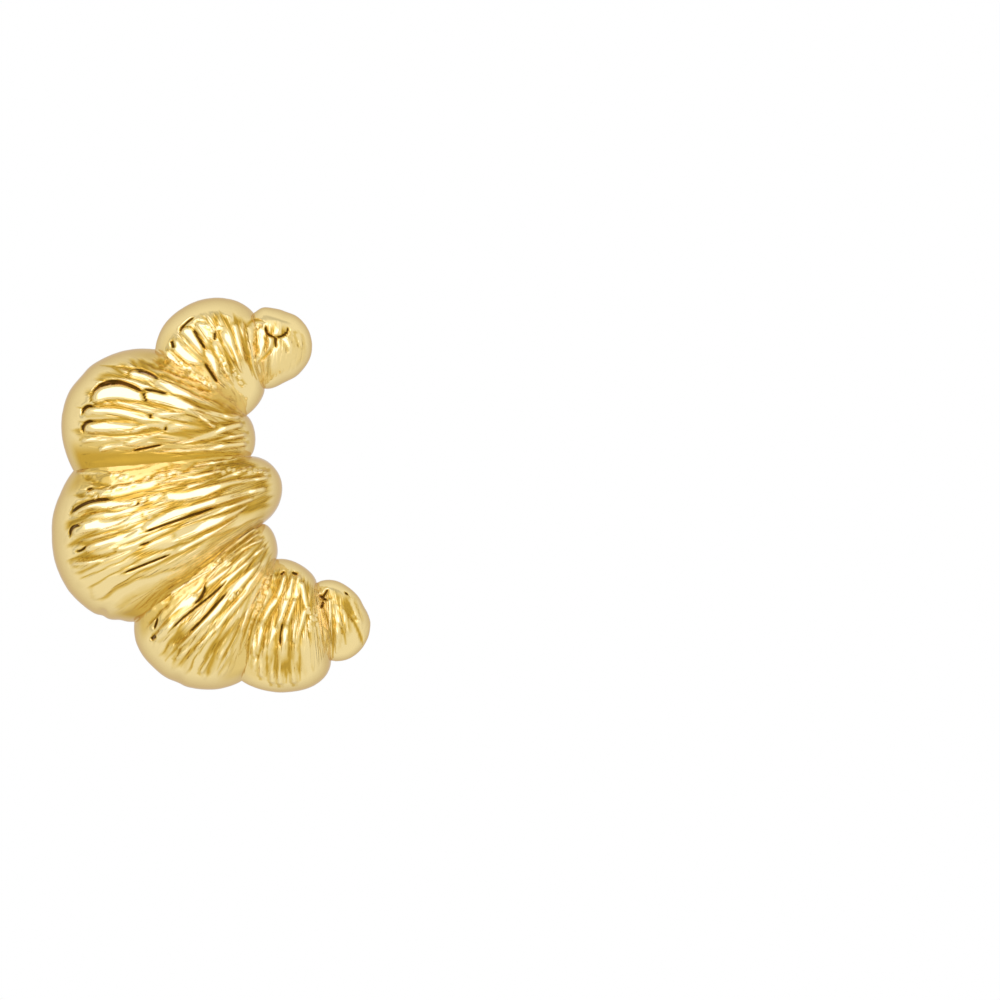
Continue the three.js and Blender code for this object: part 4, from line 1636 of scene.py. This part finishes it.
@dataclass
class ButterflyClutch:
    """A strip of thin sheet with a hole for the pin. Its ends are rolled into scrolls that grip the pin."""

    finish: GoldFinish
    plate_y: float
    sheet: float = 0.28
    half_length: float = 2.6
    half_width: float = 1.8
    hole: float = 0.45
    pin_gap: float = 0.46
    scroll_radius: float = 0.88
    scroll_inner_radius: float = 0.36
    scroll_end: float = 400.0
    tighten_from: float = 260.0
    plan_power: float = 8.0 / 3.0
    collar_height: float = 0.09
    collar_width: float = 0.14
    bead_height: float = 0.05
    bead_place: float = 0.62
    bead_width: float = 0.09
    least_rim: float = 0.1
    weld: float = 0.001
    edge_round: float = 0.07
    edge_segments: int = 3
    edge_angle: float = 50.0
    # The grid: points on a quarter of the hole, on from it to the scroll, round the scroll and across.
    hole_steps: int = 16
    plate_steps: int = 12
    scroll_steps: int = 130
    columns: int = 22

    def middle_line(self) -> np.ndarray:
        """Half of the sheet's middle line, from the hole's centre out along the plate and round the scroll.

        The scroll's radius stays the same for most of a turn and then closes in along a smoothstep.

        Returns:
            Places along the strip as worn and away from the lobe.
        """
        rise = self.sheet / 2.0 + self.scroll_radius
        centre = np.array([self.pin_gap + rise, rise])
        by_hole = self.hole * np.sin(np.linspace(0.0, np.pi / 2.0, self.hole_steps))
        beyond = np.linspace(self.hole, centre[0], self.plate_steps)[1:-1]
        flat = np.concatenate([by_hole, beyond])
        turned = np.linspace(0.0, self.scroll_end, self.scroll_steps)
        tight = smoothstep(turned, self.tighten_from, self.scroll_end)
        radius = blend(self.scroll_radius, self.scroll_inner_radius, tight)
        angle = np.radians(turned - 90.0)
        curl = centre + radius[:, None] * np.stack([np.cos(angle), np.sin(angle)], axis=1)
        return np.vstack([np.stack([flat, np.full(len(flat), self.sheet / 2.0)], axis=1), curl])

    def half_sheets(self) -> np.ndarray:
        """Lays the sheet's middle over its middle line, on both sides of the hole.

        At each place a along the strip, the sheet reaches from the hole's edge, the root of hole^2 - a^2, to
        the plan's edge, a superellipse. Across it, two pressed beads and the collar round the hole push it
        out along its normal, as bell curves of the distance to the bead's line and to the hole's edge.

        Returns:
            2 sides x rows x columns x 3 points.
        """
        half = self.middle_line()
        line = np.vstack([half[::-1] * (-1.0, 1.0), half[1:]])
        tangent = np.gradient(line, axis=0)
        tangent /= np.linalg.norm(tangent, axis=1, keepdims=True)
        normal = np.stack([-tangent[:, 1], tangent[:, 0]], axis=1)
        along = np.abs(line[:, 0])
        narrowing = np.maximum(1.0 - (along / self.half_length) ** self.plan_power, 0.0)
        rim = self.half_width * narrowing ** (1.0 / self.plan_power)
        inner = np.sqrt(np.maximum(self.hole**2 - along**2, 0.0))
        across = inner[:, None] + (rim - inner)[:, None] * np.linspace(0.0, 1.0, self.columns)
        off_bead = across / np.maximum(rim, self.least_rim)[:, None] - self.bead_place
        bead = np.exp(-((off_bead / self.bead_width) ** 2))
        row = np.arange(len(line))
        on_plate = (row >= self.scroll_steps) & (row < len(line) - self.scroll_steps)
        from_hole = np.hypot(across, along[:, None]) - self.hole
        collar = np.exp(-((from_hole / self.collar_width) ** 2)) * on_plate[:, None]
        push = self.bead_height * bead * (1.0 - collar) + self.collar_height * collar
        places = line[:, None, :] + push[:, :, None] * normal[:, None, :]
        y, z = self.plate_y + places[:, :, 1], -places[:, :, 0]
        return np.stack([np.stack([sign * across, y, z], axis=-1) for sign in (1.0, -1.0)])

    def build(self) -> bpy.types.Object:
        """Sews the two half sheets together and gives them their thickness and rounded edges.

        Returns:
            The finished piece, riding on the clutch's body in place of its plain solid.
        """
        sheets = self.half_sheets()
        rows, columns = sheets.shape[1:3]
        start = np.arange(rows - 1)[:, None] * columns + np.arange(columns - 1)
        quads = np.stack([start, start + 1, start + columns + 1, start + columns], axis=-1).reshape(-1, 4)
        both = quads.tolist() + (quads[:, ::-1] + rows * columns).tolist()
        mesh = bpy.data.meshes.new("clutch_sheet")
        mesh.from_pydata((sheets.reshape(-1, 3) * MM).tolist(), [], both)
        seams = bmesh.new()
        seams.from_mesh(mesh)
        bmesh.ops.remove_doubles(seams, verts=seams.verts, dist=self.weld * MM)
        bmesh.ops.recalc_face_normals(seams, faces=seams.faces)
        seams.to_mesh(mesh)
        seams.free()
        mesh.shade_smooth()
        piece = bpy.data.objects.new("clutch_sheet", mesh)
        bpy.context.scene.collection.objects.link(piece)
        wall = piece.modifiers.new("wall", "SOLIDIFY")
        wall.thickness = self.sheet * MM
        wall.offset = 0.0
        wall.use_even_offset = True
        edge = piece.modifiers.new("edge", "BEVEL")
        edge.width = self.edge_round * MM
        edge.segments = self.edge_segments
        edge.limit_method = "ANGLE"
        edge.angle_limit = math.radians(self.edge_angle)
        piece.data.materials.append(self.finish.material())
        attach(piece, "clutch")
        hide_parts("butterfly_clutch")
        return piece


# ---- The studio ----


@dataclass
class Studio:
    """A pale floor, soft lights and a long lens that looks straight at the relief.

    The view's width and shifts are in heights of the croissant, and the rest is in metres.
    """

    object_height: float
    centre: Point
    # The lens: its distance is measured from the croissant's widest line.
    view_width: float = 2.533
    shift_right: float = 0.732
    shift_up: float = -0.013
    distance: float = 0.3
    widest_line: float = 0.0007
    sensor_width: float = 36.0
    # The floor.
    floor_drop: float = 0.08
    floor_reach: float = 3.0
    floor_behind: float = 0.6
    # The key light, above and to the left.
    key_place: Triple = (-0.158, -0.41, 0.238)
    key_size: float = 0.52
    key_radiance: Colour = (0.57, 0.53, 1.27)
    # What the gold mirrors: white, but for a gap, a glow and a dimmer side behind. A start and a steepness
    # give each one's rise from nothing to full.
    fill: float = 0.91
    upper_left: Point = (-0.55, 0.83)
    gap_middle: float = 0.12
    gap_band: Point = (1.6 / 9.0, -9.0)
    gap_rise: Point = (0.25, 4.0)
    gap_depth: float = 0.3
    glow_towards: Point = (0.82, 0.57)
    glow_rise: Point = (0.55, 2.4)
    glow: float = 0.35
    behind_rise: Point = (-0.15, -1.5)
    behind_loss: float = 0.21

    def build(self) -> None:
        """Makes the camera, the floor, the light and the surroundings."""
        self.camera()
        self.floor()
        self.softbox("key", self.key_place, self.key_size, self.key_radiance)
        self.surroundings()

    def camera(self) -> None:
        """Looks along +Y with the croissant left of the middle of the picture."""
        lens = bpy.data.cameras.new("camera")
        lens.sensor_width = self.sensor_width
        lens.lens = lens.sensor_width * self.distance / (self.view_width * self.object_height)
        lens.clip_start, lens.clip_end = 0.001, 100.0
        camera = bpy.data.objects.new("camera", lens)
        across = self.centre[0] + self.shift_right * self.object_height
        up = self.centre[1] + self.shift_up * self.object_height
        camera.location = (across, -self.distance - self.widest_line, up)
        camera.rotation_euler = (math.radians(90.0), 0.0, 0.0)
        bpy.context.scene.collection.objects.link(camera)
        bpy.context.scene.camera = camera

    def floor(self) -> None:
        """A wide pale floor below the earring."""
        mesh = bpy.data.meshes.new("floor")
        size, back = self.floor_reach, self.floor_behind
        corners = [(-size, -size), (size, -size), (size, back), (-size, back)]
        mesh.from_pydata([(x, y, -self.floor_drop) for x, y in corners], [], [(0, 1, 2, 3)])
        material = bpy.data.materials.new("pale_floor")
        material.use_nodes = True
        shader = material.node_tree.nodes["Principled BSDF"]
        shader.inputs["Base Color"].default_value = (0.9, 0.9, 0.9, 1.0)
        shader.inputs["Roughness"].default_value = 0.8
        mesh.materials.append(material)
        floor = bpy.data.objects.new("floor", mesh)
        bpy.context.scene.collection.objects.link(floor)
        floor.visible_glossy = False

    def softbox(self, name: str, place: Triple, size: float, radiance: Colour) -> None:
        """A square soft light that faces the earring.

        Args:
            name: The light's name.
            place: Where it stands, in metres.
            size: Its side, in metres.
            radiance: How bright its face is in red, green and blue, where 1 is plain white.
        """
        light = bpy.data.lights.new(name, "AREA")
        light.shape = "SQUARE"
        light.size = size
        light.color = radiance
        light.energy = math.pi * size * size
        lamp = bpy.data.objects.new(name, light)
        lamp.location = place
        lamp.rotation_mode = "QUATERNION"
        lamp.rotation_quaternion = lamp.location.to_track_quat("Z", "Y")
        lamp.visible_camera = False
        lamp.visible_diffuse = False
        bpy.context.scene.collection.objects.link(lamp)

    def surroundings(self) -> None:
        """White all round, plain to the camera, with a darker gap above and to the left in reflections.

        The gap is a band of directions a little forward of sideways. The glow is round the key light.
        """
        world = bpy.data.worlds.new("surroundings")
        bpy.context.scene.world = world
        bpy.context.scene.view_settings.view_transform = "Standard"
        world.use_nodes = True
        web = Tangle(world.node_tree)
        sky = world.node_tree.nodes["Background"]
        sky.inputs["Color"].default_value = (1.0, 1.0, 1.0, 1.0)
        axes = web.add("ShaderNodeSeparateXYZ")
        web.join(web.add("ShaderNodeTexCoord").outputs["Generated"], axes.inputs[0])
        front = web.math("MULTIPLY", axes.outputs["Y"], -1.0)
        upper_left = web.weigh(axes.outputs["X"], self.upper_left[0], axes.outputs["Z"], self.upper_left[1])
        off_middle = web.math("ABSOLUTE", web.math("SUBTRACT", front, self.gap_middle))
        band, high = web.rise(off_middle, *self.gap_band), web.rise(upper_left, *self.gap_rise)
        gap = web.math("MULTIPLY", web.math("MULTIPLY", band, high), self.gap_depth)
        towards_key = web.weigh(front, self.glow_towards[0], upper_left, self.glow_towards[1])
        glow = web.rise(towards_key, *self.glow_rise)
        behind = web.rise(front, *self.behind_rise)
        lit = web.math("MULTIPLY_ADD", behind, -self.behind_loss, self.fill)
        lit = web.math("MULTIPLY_ADD", glow, self.glow, lit)
        level = web.math("MULTIPLY", web.math("SUBTRACT", 1.0, gap), lit)
        seen = web.add("ShaderNodeLightPath").outputs["Is Camera Ray"]
        web.join(web.math("MAXIMUM", level, seen), sky.inputs["Strength"])


def main() -> None:
    """Loads the frame, builds every piece and reports each one."""
    logging.basicConfig(level=logging.INFO, format="%(name)s: %(message)s")
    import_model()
    plate_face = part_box("butterfly_clutch")[0].y / MM
    low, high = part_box("croissant")
    ground_gold = GoldFinish("ground_gold", smooth=0.24, rough=0.4, hairlines=2.2)
    makers = (
        Croissant(GoldFinish("worked_gold"), ground_gold),
        EarPin(GoldFinish("drawn_gold", smooth=0.12, rough=0.26, hairlines=0.9)),
        ButterflyClutch(GoldFinish("rolled_gold", smooth=0.16, rough=0.32, hairlines=1.2), plate_face),
    )
    for maker in makers:
        piece = maker.build()
        log.info("%s: %d faces", piece.name, len(piece.data.polygons))
    Studio(high.z - low.z, ((low.x + high.x) / 2.0, (low.z + high.z) / 2.0)).build()


if __name__ == "__main__":
    main()
